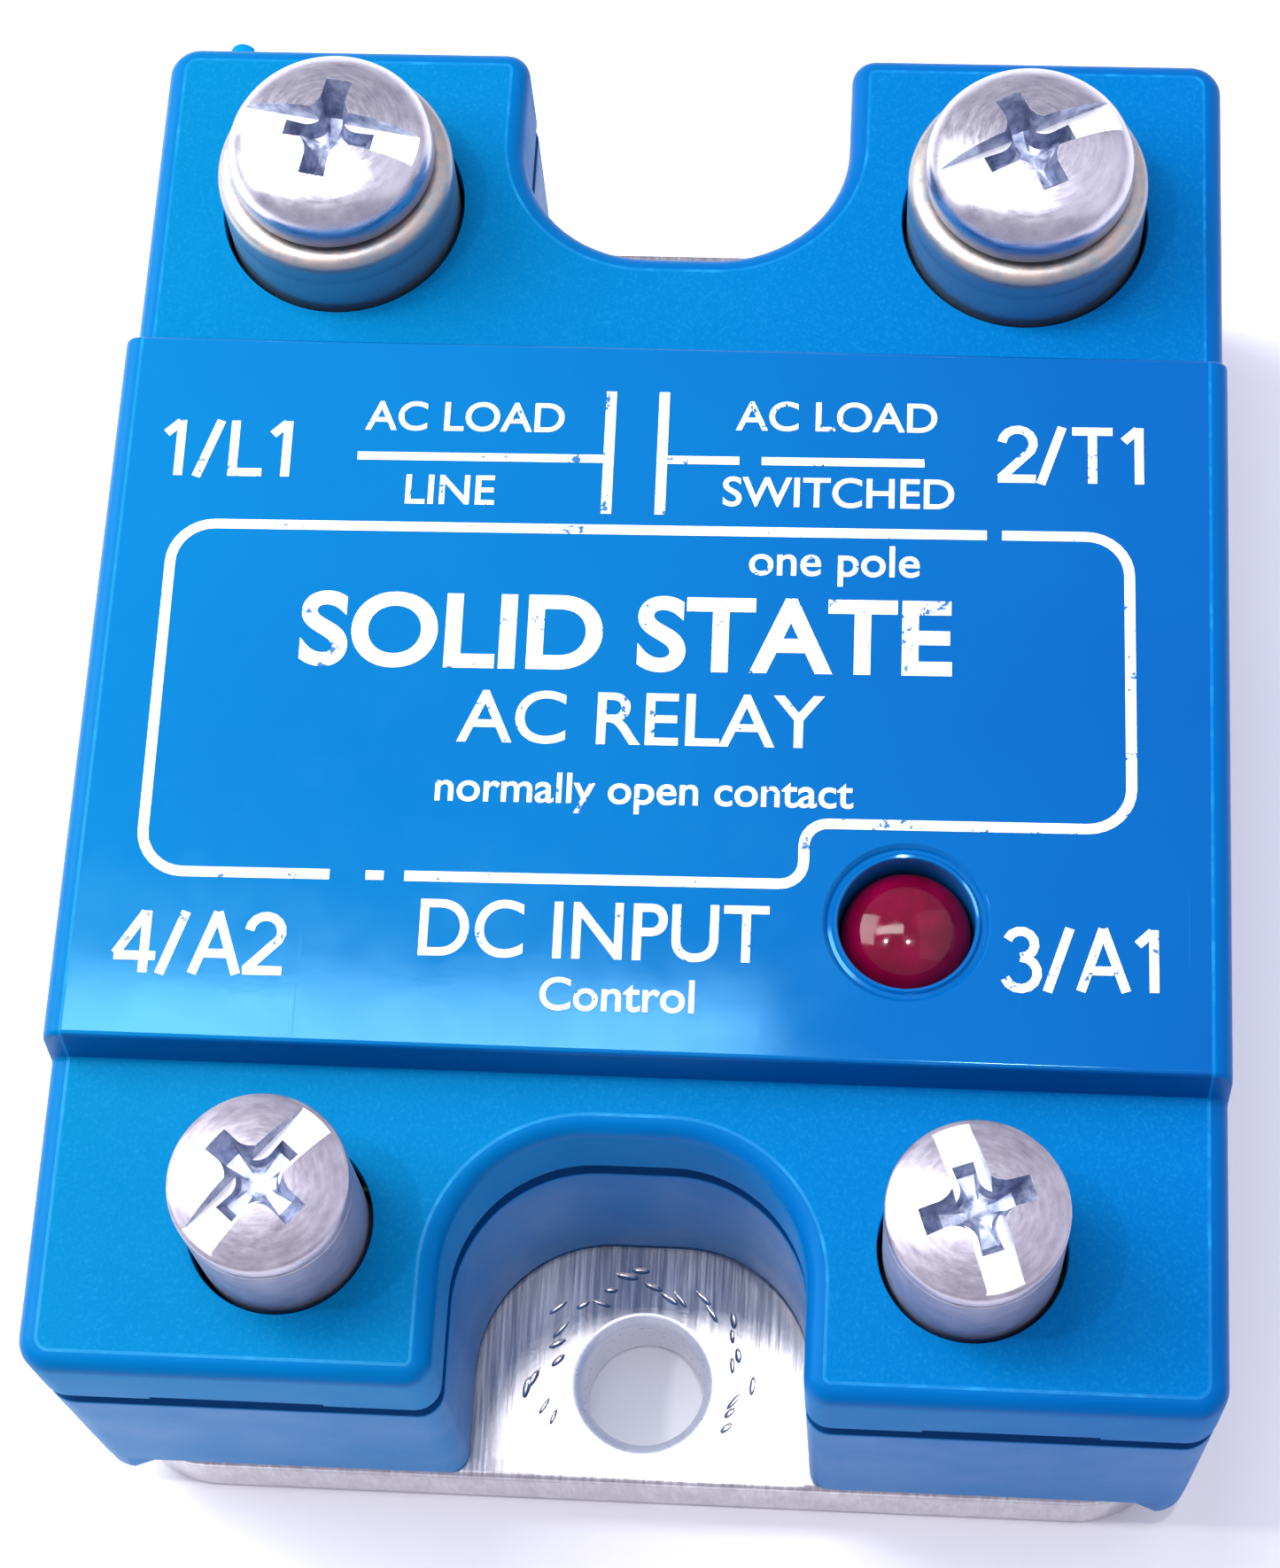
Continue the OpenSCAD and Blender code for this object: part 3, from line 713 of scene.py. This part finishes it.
def cover_cutters():
    """The posts' holes, the light's hole with the ring round it, and the snap hooks' windows."""
    bm = bmesh.new()
    for post in ("load_post_1", "load_post_2", "control_post_3", "control_post_4"):
        x, y, radius = axis_of(post)[:3]
        post_hole(bm, x, y, radius + POST_GAP)
    x, y, flange = axis_of("led_lens")[:3]
    lens = flange - LENS_FLANGE
    ring = lens + LENS_RING
    low = DECK_Z - ROOF_T - 1
    lathe(bm, [
        (0, low), (lens + 0.1, low), (lens + 0.1, PANEL_Z - 0.2),
        (lens + 0.16, PANEL_Z - 0.1), (lens + 0.26, PANEL_Z - 0.08), (lens + 0.36, PANEL_Z - 0.2),
        (ring - 0.14, PANEL_Z - 0.22), (ring - 0.02, PANEL_Z - 0.06), (ring + 0.06, PANEL_Z),
        (ring + 0.06, PANEL_Z + 1), (0, PANEL_Z + 1),
    ], (x, y, 0), slot=PANEL)
    half_w = LATCH_HALF_W + 0.15
    for x, end in latch_places():
        near, far = sorted((end * (HALF_L - 1.0), end * (HALF_L + 1.0)))
        solid_box(bm, (x - half_w, near, SEAM_Z - 0.5), (x + half_w, far, SEAM_Z + 0.5))
    return bm


def gate_nub():
    """The trimmed stub left where the moulding was broken off its runner."""
    bm = bmesh.new()
    x = GATE_INSET - HALF_W
    z = DECK_Z - 0.75
    flatness = 0.62
    rings = []
    for size, reach in ((0.55, -0.4), (0.52, 0.1), (0.46, 0.3), (0.3, 0.42)):
        points = []
        for degrees in range(0, 360, 20):
            a = math.radians(degrees)
            r = size * (1 + 0.06 * math.sin(3 * a + reach * 5))
            points.append((x + r * math.cos(a), HALF_L + reach, z + flatness * r * math.sin(a)))
        rings.append(add_ring(bm, points))
    skin(bm, rings)
    return bm


def make_case(materials):
    """The lower shell: stepped inner wall, softened edges, corner feet and snap hooks."""
    top = SEAM_Z - SEAM_GAP
    groove_z = top - GROOVE_H
    bm = bmesh.new()
    rings = [
        flat_ring(bm, FOOT_WALL, CASE_Z),
        flat_ring(bm, DRAFT + 0.15, CASE_Z),
        flat_ring(bm, DRAFT, CASE_Z + 0.2),
        flat_ring(bm, 0.02, groove_z - 0.12),
        flat_ring(bm, 0.06, groove_z),
        flat_ring(bm, 0.18, groove_z + 0.1),
        flat_ring(bm, GROOVE_DEPTH, groove_z + 0.28),
        flat_ring(bm, GROOVE_DEPTH, top),
        flat_ring(bm, LIP_INSET - 0.1, top),
        flat_ring(bm, LIP_INSET - 0.1, LIP_Z),
        flat_ring(bm, WALL, LIP_Z),
        flat_ring(bm, WALL, BOARD_Z),
        flat_ring(bm, FOOT_WALL, BOARD_Z),
    ]
    # The groove and lip at the parting line take the dark blue of painted shade.
    for k, (low, high) in enumerate(zip(rings, rings[1:] + rings[:1])):
        bridge(bm, low, high, CASE_SEAM_SHADE if 4 <= k <= 8 else CASE_SIDE)
    case = finish_mesh("case_shell", bm, materials, body=None)
    boolean(case, corner_feet(), "UNION")
    shade(case, 32)
    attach(case, HOUSING)
    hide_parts("case_frame")
    make_latches(materials)


def corner_feet():
    """Four rounded lobes that reach down past the plate's cut corners."""
    bm = bmesh.new()
    centre_x = PLATE_HIGH.x - PLATE_R
    centre_y = PLATE_HIGH.y - PLATE_R
    low = CASE_LOW.z
    levels = ((CASE_Z + 0.4, 0), (low + 0.7, 0), (low + 0.25, 0.12), (low, 0.4))
    outer = arc(HALF_W - CORNER_R - DRAFT, HALF_L - CORNER_R - DRAFT, CORNER_R, 88, 2, 10)
    inner = arc(centre_x, centre_y, PLATE_R + 0.12, 30, 60, 10)
    for side, end in ((-1, -1), (-1, 1), (1, -1), (1, 1)):
        plan = [Vector((side * x, end * y)) for x, y in outer + inner]
        middle = Vector((side * (centre_x + 3.5), end * (centre_y + 3.5)))
        rings = []
        for z, shrink in levels:
            rings.append(add_ring(bm, [(*point.lerp(middle, shrink), z) for point in plan]))
        skin(bm, rings)
    return bm


def make_latches(materials):
    """The barb of each snap hook, seen as a bar in the parting line."""
    bm = bmesh.new()
    z = SEAM_Z - 0.02
    for x, end in latch_places():
        left = x - LATCH_HALF_W
        right = x + LATCH_HALF_W
        near, far = sorted((end * (HALF_L - 0.14), end * (HALF_L - 1.0)))
        solid_box(bm, (left, near, z), (right, far, z + 0.36))
        near, far = sorted((end * (HALF_L - 0.55), end * (HALF_L - 1.08)))
        solid_box(bm, (left, near, LIP_Z + 0.1), (right, far, z + 0.2))
    bmesh.ops.bevel(
        bm, geom=bm.edges[:], offset=0.07, segments=3, profile=0.5, affect="EDGES", clamp_overlap=True
    )
    latches = finish_mesh("snap_hooks", bm, materials)


def make_plate(materials):
    """The metal plate: rounded corners, softened edges, two holes and their washer marks."""
    top = PLATE_HIGH.z
    centre_x = PLATE_HIGH.x - PLATE_R
    centre_y = PLATE_HIGH.y - PLATE_R
    levels = ((0.25, 0), (0.06, 0.08), (0, 0.3), (0, top - 0.35), (0.07, top - 0.09), (0.3, top))
    bm = bmesh.new()
    rings = []
    for inset, z in levels:
        points = []
        for sx, sy, start in ((1, -1, 270), (1, 1, 0), (-1, 1, 90), (-1, -1, 180)):
            points += arc(sx * centre_x, sy * centre_y, PLATE_R - inset, start, start + 90, 12)
        rings.append(add_ring(bm, [(x, y, z) for x, y in points]))
    skin(bm, rings, PLATE_FACE)
    plate = finish_mesh("heat_spreader_plate", bm, materials, body=None)
    boolean(plate, plate_cutters(top))
    shade(plate, 32)
    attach(plate, HOUSING)
    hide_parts("base_plate")


def plate_cutters(top):
    """The two bevelled holes, and the dents that lock washers left round each."""
    pattern = next(m for m in frame["record"]["mounts"] if m["name"] == "mounting_holes")
    radius = pattern["dims"]["hole_r_mm"]
    hole_y = pattern["dims"]["spacing_y_mm"] / 2
    bevel = 0.5
    dents = 26
    first = -25
    sweep = 230
    rim = fillet(radius + bevel, top - bevel, bevel, 180, 90, 7)
    dice = random.Random(7)
    bm = bmesh.new()
    for end in (-1, 1):
        lathe(bm, [
            (0, -1), (radius + 0.25, -1), (radius + 0.25, 0), (radius, 0.25),
            *rim, (radius + bevel, top + 1), (0, top + 1),
        ], (0, end * hole_y, 0), sides=80, slot=PLATE_CUT)
        for k in range(dents):
            washer_dent(bm, dice, first + sweep * k / (dents - 1), end, hole_y, top)
    return bm


def washer_dent(bm, dice, degrees, end, hole_y, top):
    """One dent at about an angle round a hole, unless the case covers its place."""
    washer_r = 4.4
    a = math.radians(degrees + dice.uniform(-2.5, 2.5)) * -end
    reach = washer_r + dice.uniform(-0.7, 0.6)
    x = reach * math.cos(a)
    y = end * hole_y + reach * math.sin(a)
    if abs(x) > NOTCH_W / 2 - 1.0 or abs(y) < HALF_L - NOTCH_DEPTH + 0.9:
        return
    dent = bmesh.ops.create_icosphere(bm, subdivisions=2, radius=1)["verts"]
    turn = Matrix.Rotation(a + dice.uniform(0.7, 1.5), 4, "Z")
    shape = turn @ Matrix.Diagonal((dice.uniform(0.3, 0.5), dice.uniform(0.1, 0.17), 0.05, 1))
    bmesh.ops.transform(bm, matrix=Matrix.Translation((x, y, top)) @ shape, verts=dent)


# ---- Terminals ----

def make_load_post(number, material):
    """A collar on a thinner stem, with a fine line below its round rim and a blind bore."""
    name = f"load_post_{number}"
    x, y, radius, low, top = axis_of(name)
    bore = axis_of(f"load_screw_{number}")[2] * 0.52 + 0.05
    rim = 0.6
    stem = 3.5
    collar = top - 6.8
    profile = [
        (0, top - 8.9), (bore, top - 8.6), (bore, top - 0.4), (bore + 0.3, top - 0.1),
        (radius - 1.15, top - 0.1), (radius - 0.95, top - 0.02),
        *fillet(radius - rim, top - rim, rim, 90, 0, 8),
        (radius, top - 1.4), (radius - 0.03, top - 1.5), (radius, top - 1.6),
        (radius, collar + 0.2), (radius - 0.2, collar),
        (stem, collar), (stem, low + 0.2), (stem - 0.2, low), (0, low),
    ]
    bm = bmesh.new()
    lathe(bm, profile, sides=128)
    post = finish_mesh(f"load_terminal_{number}", bm, [material], place=(x, y, 0))
    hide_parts(name)


def make_control_post(number, material):
    """A plain collar that stands on the board, with a thin stem through it and a blind bore."""
    name = f"control_post_{number}"
    x, y, radius, low, top = axis_of(name)
    board_top = BOARD_Z + BOARD_T
    stem = radius / 3
    bore = 1.8
    rim = 0.16
    profile = [
        (0, top - 7.3), (bore, top - 7.0), (bore, top - 0.3), (bore + 0.3, top),
        *fillet(radius - rim, top - rim, rim, 90, 0, 5),
        (radius, board_top + 0.2), (radius - 0.2, board_top), (stem, board_top),
        (stem, low + 0.2), (stem - 0.2, low), (0, low),
    ]
    bm = bmesh.new()
    lathe(bm, profile, sides=112)
    post = finish_mesh(f"control_terminal_{number}", bm, [material], place=(x, y, 0))
    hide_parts(name)


def thread_profile(seat_r, thread_r, thread_l):
    """The threaded shank, from its tip to the underside of the head; the post's top is at zero."""
    root = thread_r - THREAD_DEPTH
    profile = [(0, -thread_l), (root, -thread_l), (root, -thread_l + 0.35)]
    z = -thread_l + 0.4
    while z < -0.5:
        for radius, share in ((thread_r, 0.3), (thread_r, 0.42), (root, 0.72)):
            profile.append((radius, z + share * THREAD_PITCH))
        z += THREAD_PITCH
    return profile + [(root, 0.05), (seat_r, 0.06)]


def pan_head(radius, seat, height):
    """A pan head: an upright band below a dome that is a little squarer than an ellipse."""
    band = height * 0.34
    dome = height - band
    edge = radius - 0.02
    power = 2 / 2.2
    profile = [(radius * SEAT_SHARE, seat), (radius - 0.3, seat + 0.02)]
    profile += [(radius - 0.08, seat + 0.12), (radius, seat + 0.3), (edge, seat + band)]
    for k in range(1, 15):
        a = math.radians(90 * k / 15)
        profile.append((edge * math.cos(a) ** power, seat + band + dome * math.sin(a) ** power))
    return profile + [(0, seat + height)]


def cheese_head(radius, seat, height):
    """An upright head flush with its post, with a crease below its dome."""
    band = height * 0.46
    rise = height - band - 0.06
    rim = radius - 0.16
    curve = (rim ** 2 + rise ** 2) / (2 * rise)
    profile = [(radius * SEAT_SHARE, seat), (radius - 0.1, seat), (radius, seat + 0.1)]
    profile += [(radius, seat + band - 0.06), (radius - 0.05, seat + band + 0.01)]
    profile.append((rim, seat + band + 0.06))
    for k in range(1, 16):
        r = rim * (1 - k / 16)
        drop = curve - math.sqrt(curve ** 2 - r ** 2)
        profile.append((r, seat + height - drop))
    return profile + [(0, seat + height)]


def wedge(bm, top, bottom, z_top, z_bottom):
    """A tapered block with half sizes top and bottom."""
    rings = []
    for (length, width), z in ((bottom, z_bottom), (top, z_top)):
        corners = [(x * length, y * width, z) for x, y in ((-1, -1), (1, -1), (1, 1), (-1, 1))]
        rings.append(add_ring(bm, corners))
    skin(bm, rings)


def add_part(bm, part):
    """Joins one bmesh to another."""
    mesh = bpy.data.meshes.new("part")
    part.to_mesh(mesh)
    part.free()
    bm.from_mesh(mesh)
    bpy.data.meshes.remove(mesh)


def cross_outline(reach):
    """A cross recess in plan: four arms, with a round lobe of the head between each pair."""
    tip = 0.24 * reach
    lobe_r = 0.38 * reach
    lobe_at = 0.59 * reach
    corner = []
    for x, y in [(reach, tip), *arc(lobe_at, lobe_at, lobe_r, 270, 180, 8), (tip, reach)]:
        corner.append(Vector((x, y)))
    points = []
    for quarter in range(4):
        turn = Matrix.Rotation(quarter * math.pi / 2, 2)
        points += [turn @ point for point in corner]
    return points


def cross_recess(crown, depth, reach, above):
    """A cross recess whose arms taper to its floor, down from above the crown."""
    levels = ((depth + 0.1, 0.3), (depth, 0.56), (0.35, 0.88), (0, 1), (-above, 1.06))
    plan = cross_outline(reach)
    bm = bmesh.new()
    rings = []
    for below, size in levels:
        rings.append(add_ring(bm, [(*(point * size), crown - below) for point in plan]))
    skin(bm, rings, RECESS_SHADE)
    return bm


def driver_cutter(radius, crown, recess_depth, reach, turn):
    """A slot across the whole head, and a cross recess at its middle."""
    above = 0.6
    length = radius + 1
    floor = crown - SLOT_DEPTH
    bm = bmesh.new()
    wedge(bm, (length, SLOT_W / 2 + 0.03), (length, SLOT_W / 2 - 0.04), crown + above, floor)
    # The slot's floor takes painted light, and its walls take the recess's painted shade.
    for face in bm.faces:
        on_floor = all(vert.co.z < floor + 0.01 for vert in face.verts)
        face.material_index = SLOT_FLOOR_LIGHT if on_floor else RECESS_SHADE
    add_part(bm, cross_recess(crown, recess_depth, reach, above))
    turning = Matrix.Rotation(math.radians(turn), 3, "Z")
    bmesh.ops.rotate(bm, verts=bm.verts, cent=(0, 0, 0), matrix=turning)
    return bm


def make_screw(number, kind, turn, head, thread, recess, materials):
    """A screw in its own coordinates, with the post's top at zero height."""
    node = f"{kind}_screw_{number}"
    x, y, radius, _, crown = axis_of(node)
    top = axis_of(f"{kind}_post_{number}")[4]
    crown -= top
    profile = thread_profile(radius * SEAT_SHARE, *thread)
    bm = bmesh.new()
    lathe(bm, profile + head(radius, HEAD_GAP, crown - HEAD_GAP), sides=128, slot=SCREW_BODY)
    screw = finish_mesh(f"{node}_turned", bm, materials, body=None)
    boolean(screw, driver_cutter(radius, crown, *recess, turn))
    bevel = screw.modifiers.new("worn_edges", "BEVEL")
    bevel.width = 0.06 * MM
    bevel.segments = 2
    bevel.limit_method = "ANGLE"
    bevel.angle_limit = math.radians(38)
    shade(screw, 36)
    screw.location = Vector((x, y, top)) * MM
    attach(screw, node)
    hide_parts(node)


# ---- Status light ----

def make_lens(material):
    """The light's round lens on its flange."""
    x, y, flange, low, top = axis_of("led_lens")
    radius = flange - LENS_FLANGE
    dome = radius * LENS_DOME
    profile = [(0, low), (flange - 0.1, low), (flange, low + 0.1), (flange, low + 0.9)]
    profile += [(flange - 0.1, low + 1), (radius, low + 1), (radius, top - dome)]
    for k in range(1, 16):
        a = math.radians(90 * k / 16)
        profile.append((radius * math.cos(a), top - dome + dome * math.sin(a)))
    profile.append((0, top))
    bm = bmesh.new()
    lathe(bm, profile, (x, y, 0), sides=80)
    lens = finish_mesh("status_lens", bm, [material])
    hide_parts("led_lens")


# ---- Printing ----

def stroke(bm, points, width, lift=0.0):
    """A line of ink along points, as a thin closed strip; a lift keeps crossing strips apart."""
    edges = []
    for k, point in enumerate(points):
        before = Vector(points[max(k - 1, 0)])
        after = Vector(points[min(k + 1, len(points) - 1)])
        along = (after - before).normalized()
        across = Vector((-along.y, along.x)) * width / 2
        edges.append((Vector(point) - across, Vector(point) + across))
    low = PANEL_Z + INK_LOW + lift
    high = PANEL_Z + INK_HIGH + lift
    rings = []
    for left, right in edges:
        rings.append(add_ring(bm, [(*left, low), (*right, low), (*right, high), (*left, high)]))
    skin(bm, rings)


def digit_paths(mark):
    """The strokes of one terminal mark, in a cell one high, with the cell's width."""
    shapes = {
        "1": (0.62, [[(0.08, 0.76), (0.30, 0.97)], [(0.32, 1.0), (0.32, 0.0)]]),
        "2": (0.68, [[*arc(0.31, 0.70, 0.25, 175, -30, 9), (0.04, 0.08)], [(0.0, 0.07), (0.60, 0.07)]]),
        "3": (0.68, [arc(0.28, 0.73, 0.21, 160, -90, 9), arc(0.28, 0.27, 0.25, 90, -160, 10)]),
        "4": (0.72, [[(0.46, 0.0), (0.46, 1.0)], [(0.44, 0.98), (0.02, 0.30)], [(0.0, 0.27), (0.64, 0.27)]]),
        "/": (0.50, [[(0.0, -0.02), (0.34, 1.0)]]),
        "L": (0.62, [[(0.08, 1.0), (0.08, 0.0)], [(0.08, 0.07), (0.56, 0.07)]]),
        "T": (0.74, [[(0.0, 0.93), (0.64, 0.93)], [(0.32, 0.95), (0.32, 0.0)]]),
        "A": (0.78, [[(0.0, 0.0), (0.34, 1.0)], [(0.34, 1.0), (0.68, 0.0)], [(0.12, 0.33), (0.56, 0.33)]]),
    }
    return shapes[mark]


def terminal_mark(bm, text, place):
    """A terminal's designation in plain strokes, centred on place."""
    height = 2.5
    width = 0.36
    along = sum(digit_paths(mark)[0] for mark in text)
    x = place[0] - along * height / 2
    for mark in text:
        advance, paths = digit_paths(mark)
        for k, path in enumerate(paths):
            points = [(x + u * height, place[1] + (v - 0.5) * height) for u, v in path]
            stroke(bm, points, width, INK_STEP * k)
        x += advance * height


def lettering(bm, text, place, size, weight=0.02, stretch=1.0):
    """Plain lettering in Blender's own font, centred on place, with capitals of that size."""
    capital = 0.73
    curve = bpy.data.curves.new("lettering", "FONT")
    curve.body = text
    curve.size = size / capital
    curve.align_x = "CENTER"
    curve.align_y = "CENTER"
    curve.offset = weight
    curve.extrude = (INK_HIGH - INK_LOW) / 2
    holder = bpy.data.objects.new("lettering", curve)
    bpy.context.scene.collection.objects.link(holder)
    bpy.context.view_layer.update()
    graph = bpy.context.evaluated_depsgraph_get()
    mesh = bpy.data.meshes.new_from_object(holder.evaluated_get(graph), depsgraph=graph)
    centre_z = PANEL_Z + (INK_HIGH + INK_LOW) / 2
    mesh.transform(Matrix.Translation((*place, centre_z)) @ Matrix.Diagonal((stretch, 1, 1, 1)))
    bm.from_mesh(mesh)
    bpy.data.meshes.remove(mesh)
    bpy.data.objects.remove(holder)
    bpy.data.curves.remove(curve)


def frame_line():
    """The rounded frame's corners, right and left of its gaps, with the step round the light."""
    left = -19.5
    right = 18.6
    top = 5.3
    low = -9.6
    step_x = 6.1
    step_y = -7.1
    r = 1.7
    small = 0.9
    right_part = arc(right - r, top - r, r, 90, 0, 8)
    right_part += arc(right - r, step_y + r, r, 0, -90, 8)
    right_part += arc(step_x + small, step_y - small, small, 90, 180, 6)
    right_part += arc(step_x - small, low + small, small, 0, -90, 6)
    left_part = arc(left + r, low + r, r, 270, 180, 8)
    left_part += arc(left + r, top - r, r, 180, 90, 8)
    return right_part, left_part


def make_lines(bm):
    """The broken frame, and the contact symbol above it."""
    line = 0.42
    right_part, left_part = frame_line()
    low_y = right_part[-1][1]
    stroke(bm, [(13.6, right_part[0][1]), *right_part, (-9.2, low_y)], line)
    stroke(bm, [(-10.0, low_y), (-10.7, low_y)], line * 0.9)
    stroke(bm, [(-12.1, low_y), *left_part, (13.0, left_part[-1][1])], line)
    for x in (-2.15, 0.0):
        stroke(bm, [(x, 11.5), (x, 6.0)], line, INK_STEP)
    for start, end in ((-12.3, -2.35), (0.2, 3.1), (4.0, 10.5)):
        stroke(bm, [(start, 8.45), (end, 8.45)], line * 0.85)


def make_print(material):
    """The panel's print as one thin raised piece, a little turned on the panel as in the photo."""
    bm = bmesh.new()
    make_lines(bm)
    terminal_mark(bm, "1/L1", (-17.4, 8.7))
    terminal_mark(bm, "2/T1", (16.6, 8.9))
    terminal_mark(bm, "3/A1", (16.9, -12.4))
    terminal_mark(bm, "4/A2", (-16.8, -12.5))
    lettering(bm, "AC LOAD", (-8.0, 10.2), 1.35)
    lettering(bm, "LINE", (-8.5, 6.9), 1.35)
    lettering(bm, "AC LOAD", (7.0, 10.4), 1.35)
    lettering(bm, "SWITCHED", (7.1, 7.0), 1.35)
    lettering(bm, "SOLID STATE", (-1.2, 0.6), 3.2, weight=0.11)
    lettering(bm, "one pole", (7.0, 4.0), 1.4)
    lettering(bm, "AC RELAY", (-0.4, -3.0), 2.3)
    lettering(bm, "normally open contact", (-0.2, -5.9), 1.3)
    lettering(bm, "DC INPUT", (-1.9, -11.8), 2.4, stretch=0.9)
    lettering(bm, "Control", (-0.8, -14.3), 1.35)
    tilt = Matrix.Rotation(math.radians(PRINT_TILT), 3, "Z")
    bmesh.ops.rotate(bm, verts=bm.verts, cent=(0, 0, 0), matrix=tilt)
    printing = finish_mesh("panel_print", bm, [material], smooth=30, weighted=False)


# ---- Inner pieces and floor ----

def dress_inner_nodes():
    """Finishes for the CAD nodes that keep their own shape."""
    tin = simple("tinned_wire", (0.6, 0.6, 0.62), (0.8, 0.8, 0.8), 0.3, 2500, 1.0)
    copper = simple("copper_strip", (0.62, 0.26, 0.14), (0.85, 0.48, 0.32), 0.35, 1600, 1.0)
    black = simple("black_epoxy", (0.012, 0.012, 0.013), (0.03, 0.03, 0.03), 0.45, 3000)
    lacquer = simple("lacquer", (0.42, 0.33, 0.2), (0.55, 0.44, 0.28), 0.35, 1500)
    finishes = {
        # The adhesive is coloured near black, which stands as painted shade for the dark line under the
        # case's wall.
        "base_adhesive": simple("adhesive", (0.008, 0.009, 0.012), (0.02, 0.022, 0.03), 0.6, 1800),
        "led_leads": tin, "optocoupler_pins": tin, "component_leads": tin, "gate_leads": tin,
        "circuit_board": simple("laminate", (0.01, 0.09, 0.03), (0.03, 0.16, 0.07), 0.4, 1200),
        "optocoupler": black, "input_diode": black, "input_transistor": black,
        "snubber_capacitor": simple("film_case", (0.6, 0.4, 0.03), (0.75, 0.52, 0.06), 0.3, 900),
        "snubber_resistor": lacquer, "input_resistor": lacquer,
        "substrate_solder": simple("solder", (0.45, 0.45, 0.47), (0.66, 0.66, 0.68), 0.4, 2200, 1.0),
        "ceramic_substrate": simple("alumina", (0.78, 0.77, 0.74), (0.9, 0.89, 0.87), 0.55, 2600),
        "copper_tracks": copper, "chip_clips": copper, "load_strap_1": copper, "load_strap_2": copper,
        "thyristor_chips": simple("silicon", (0.12, 0.13, 0.16), (0.3, 0.31, 0.35), 0.2, 1500, 1.0),
        "potting": simple("potting_resin", (0.012, 0.012, 0.014), (0.03, 0.03, 0.035), 0.5, 500),
    }
    for node, finish in finishes.items():
        mesh = frame["nodes"][node].data
        mesh.materials.clear()
        mesh.materials.append(finish)


def make_floor():
    nodes = Nodes("pale_floor")
    nodes.colour(nodes.mix(nodes.noise(12, 3), (0.93, 0.92, 0.97), (0.95, 0.94, 0.98)))
    nodes.roughness(nodes.ramp(nodes.noise(60, 3), 0.5, 0.6, 0.3, 0.7))
    bm = bmesh.new()
    corners = [(x * FLOOR_REACH, y * FLOOR_REACH) for x, y in ((-1, -1), (1, -1), (1, 1), (-1, 1))]
    bm.faces.new(add_ring(bm, [(x, y, FLOOR_Z) for x, y in corners]))
    floor = finish_mesh("floor", bm, [nodes.material], body=None)


def make_housing():
    """The cover, the case and the plate, in the blues that each face shows in the photo."""
    side = plastic("blue_side", (0, 0.18, 0.45), (0, 0.14, 0.42), (0.42, 0.52), 0.18)
    deck = plastic(
        "blue_deck", (0, 0.165, 0.37), (0, 0.13, 0.41), (0.36, 0.5), 0.13,
        grain=7000, grain_mm=0.025, speckle=0.35,
    )
    panel = plastic(
        "blue_panel", (0, 0.155, 0.40), (0, 0.085, 0.34), (0.05, 0.12), 0.5,
        grain=3500, grain_mm=0.0008, tint=GLINT_TINT, marks=0.24,
    )
    shaded = plastic("blue_shaded", (0, 0.045, 0.17), (0, 0.035, 0.14), (0.5, 0.6), 0.1)
    # A lighter edge line: partly wear and dust, partly a painted highlight.
    worn = plastic(
        "blue_worn_edge_and_highlight", (0, 0.185, 0.42), (0, 0.145, 0.45), (0.3, 0.5), 0.3,
        grain=900, grain_mm=0.03, tint=GLINT_TINT, speckle=0.8,
    )
    # A darker blue for the steps: painted shade.
    edge = plastic("blue_step_painted_shade", (0, 0.09, 0.30), (0, 0.065, 0.27), (0.35, 0.45), 0.25)
    # A lighter blue for the cover's upright sides than for its decks: painted light, for the light thrown up
    # from the floor.
    skirt = plastic("blue_skirt", (0, 0.22, 0.50), (0, 0.15, 0.45), (0.42, 0.52), 0.03)
    # A darker blue for the round of the top edge: painted shade.
    rim = plastic("blue_rim_painted_shade", (0, 0.135, 0.37), (0, 0.10, 0.36), (0.35, 0.45), 0.2, grain_mm=0.006)
    make_cover([skirt, deck, panel, shaded, worn, edge, rim])
    make_case([side, shaded])
    make_plate([aluminium(), cut_edge()])


def make_terminals():
    """The four posts and their screws, each screw turned as in the photo."""
    zinc = turned_metal("zinc_plate", (0.54, 0.52, 0.60), (0.78, 0.76, 0.83), (0.22, 0.36), foot_shade_z=1.3)
    # The slot's floor: near white, painted light.
    slot = pressed_metal("slot_floor_painted_light", (0.82, 0.83, 0.88), (0.95, 0.95, 0.98), 0.2, 0.006)
    # The recess and the slot's walls: dark blue, painted shade.
    recess = pressed_metal("recess_painted_shade", (0.16, 0.20, 0.34), (0.56, 0.60, 0.74), 0.8, 0.03)
    tin = turned_metal("tin_plate", (0.30, 0.30, 0.37), (0.48, 0.46, 0.54), (0.38, 0.5), 0.6)
    cap = turned_metal("control_cap", (0.38, 0.35, 0.43), (0.62, 0.59, 0.67), (0.34, 0.48), 0.85, 0.012)
    load_top = axis_of("load_post_1")[4]
    plated = post_metal("plated_brass", (0.30, 0.41, 0.46), (0.56, 0.47, 0.42), load_top)
    load_thread = (2.08, 7.9)
    load_recess = (1.8, 2.5)
    control_thread = (1.75, 6.3)
    control_recess = (1.4, 2.45)
    for number, turn in ((1, -10), (2, 26)):
        make_load_post(number, plated)
        finishes = [zinc, slot, recess]
        make_screw(number, "load", turn, pan_head, load_thread, load_recess, finishes)
    for number, turn in ((3, -70), (4, 50)):
        make_control_post(number, tin)
        finishes = [cap, slot, recess]
        make_screw(number, "control", turn, cheese_head, control_thread, control_recess, finishes)


def build():
    make_camera()
    make_lights()
    make_floor()
    make_housing()
    make_terminals()
    make_lens(lens_red())
    make_print(ink())
    dress_inner_nodes()


build()
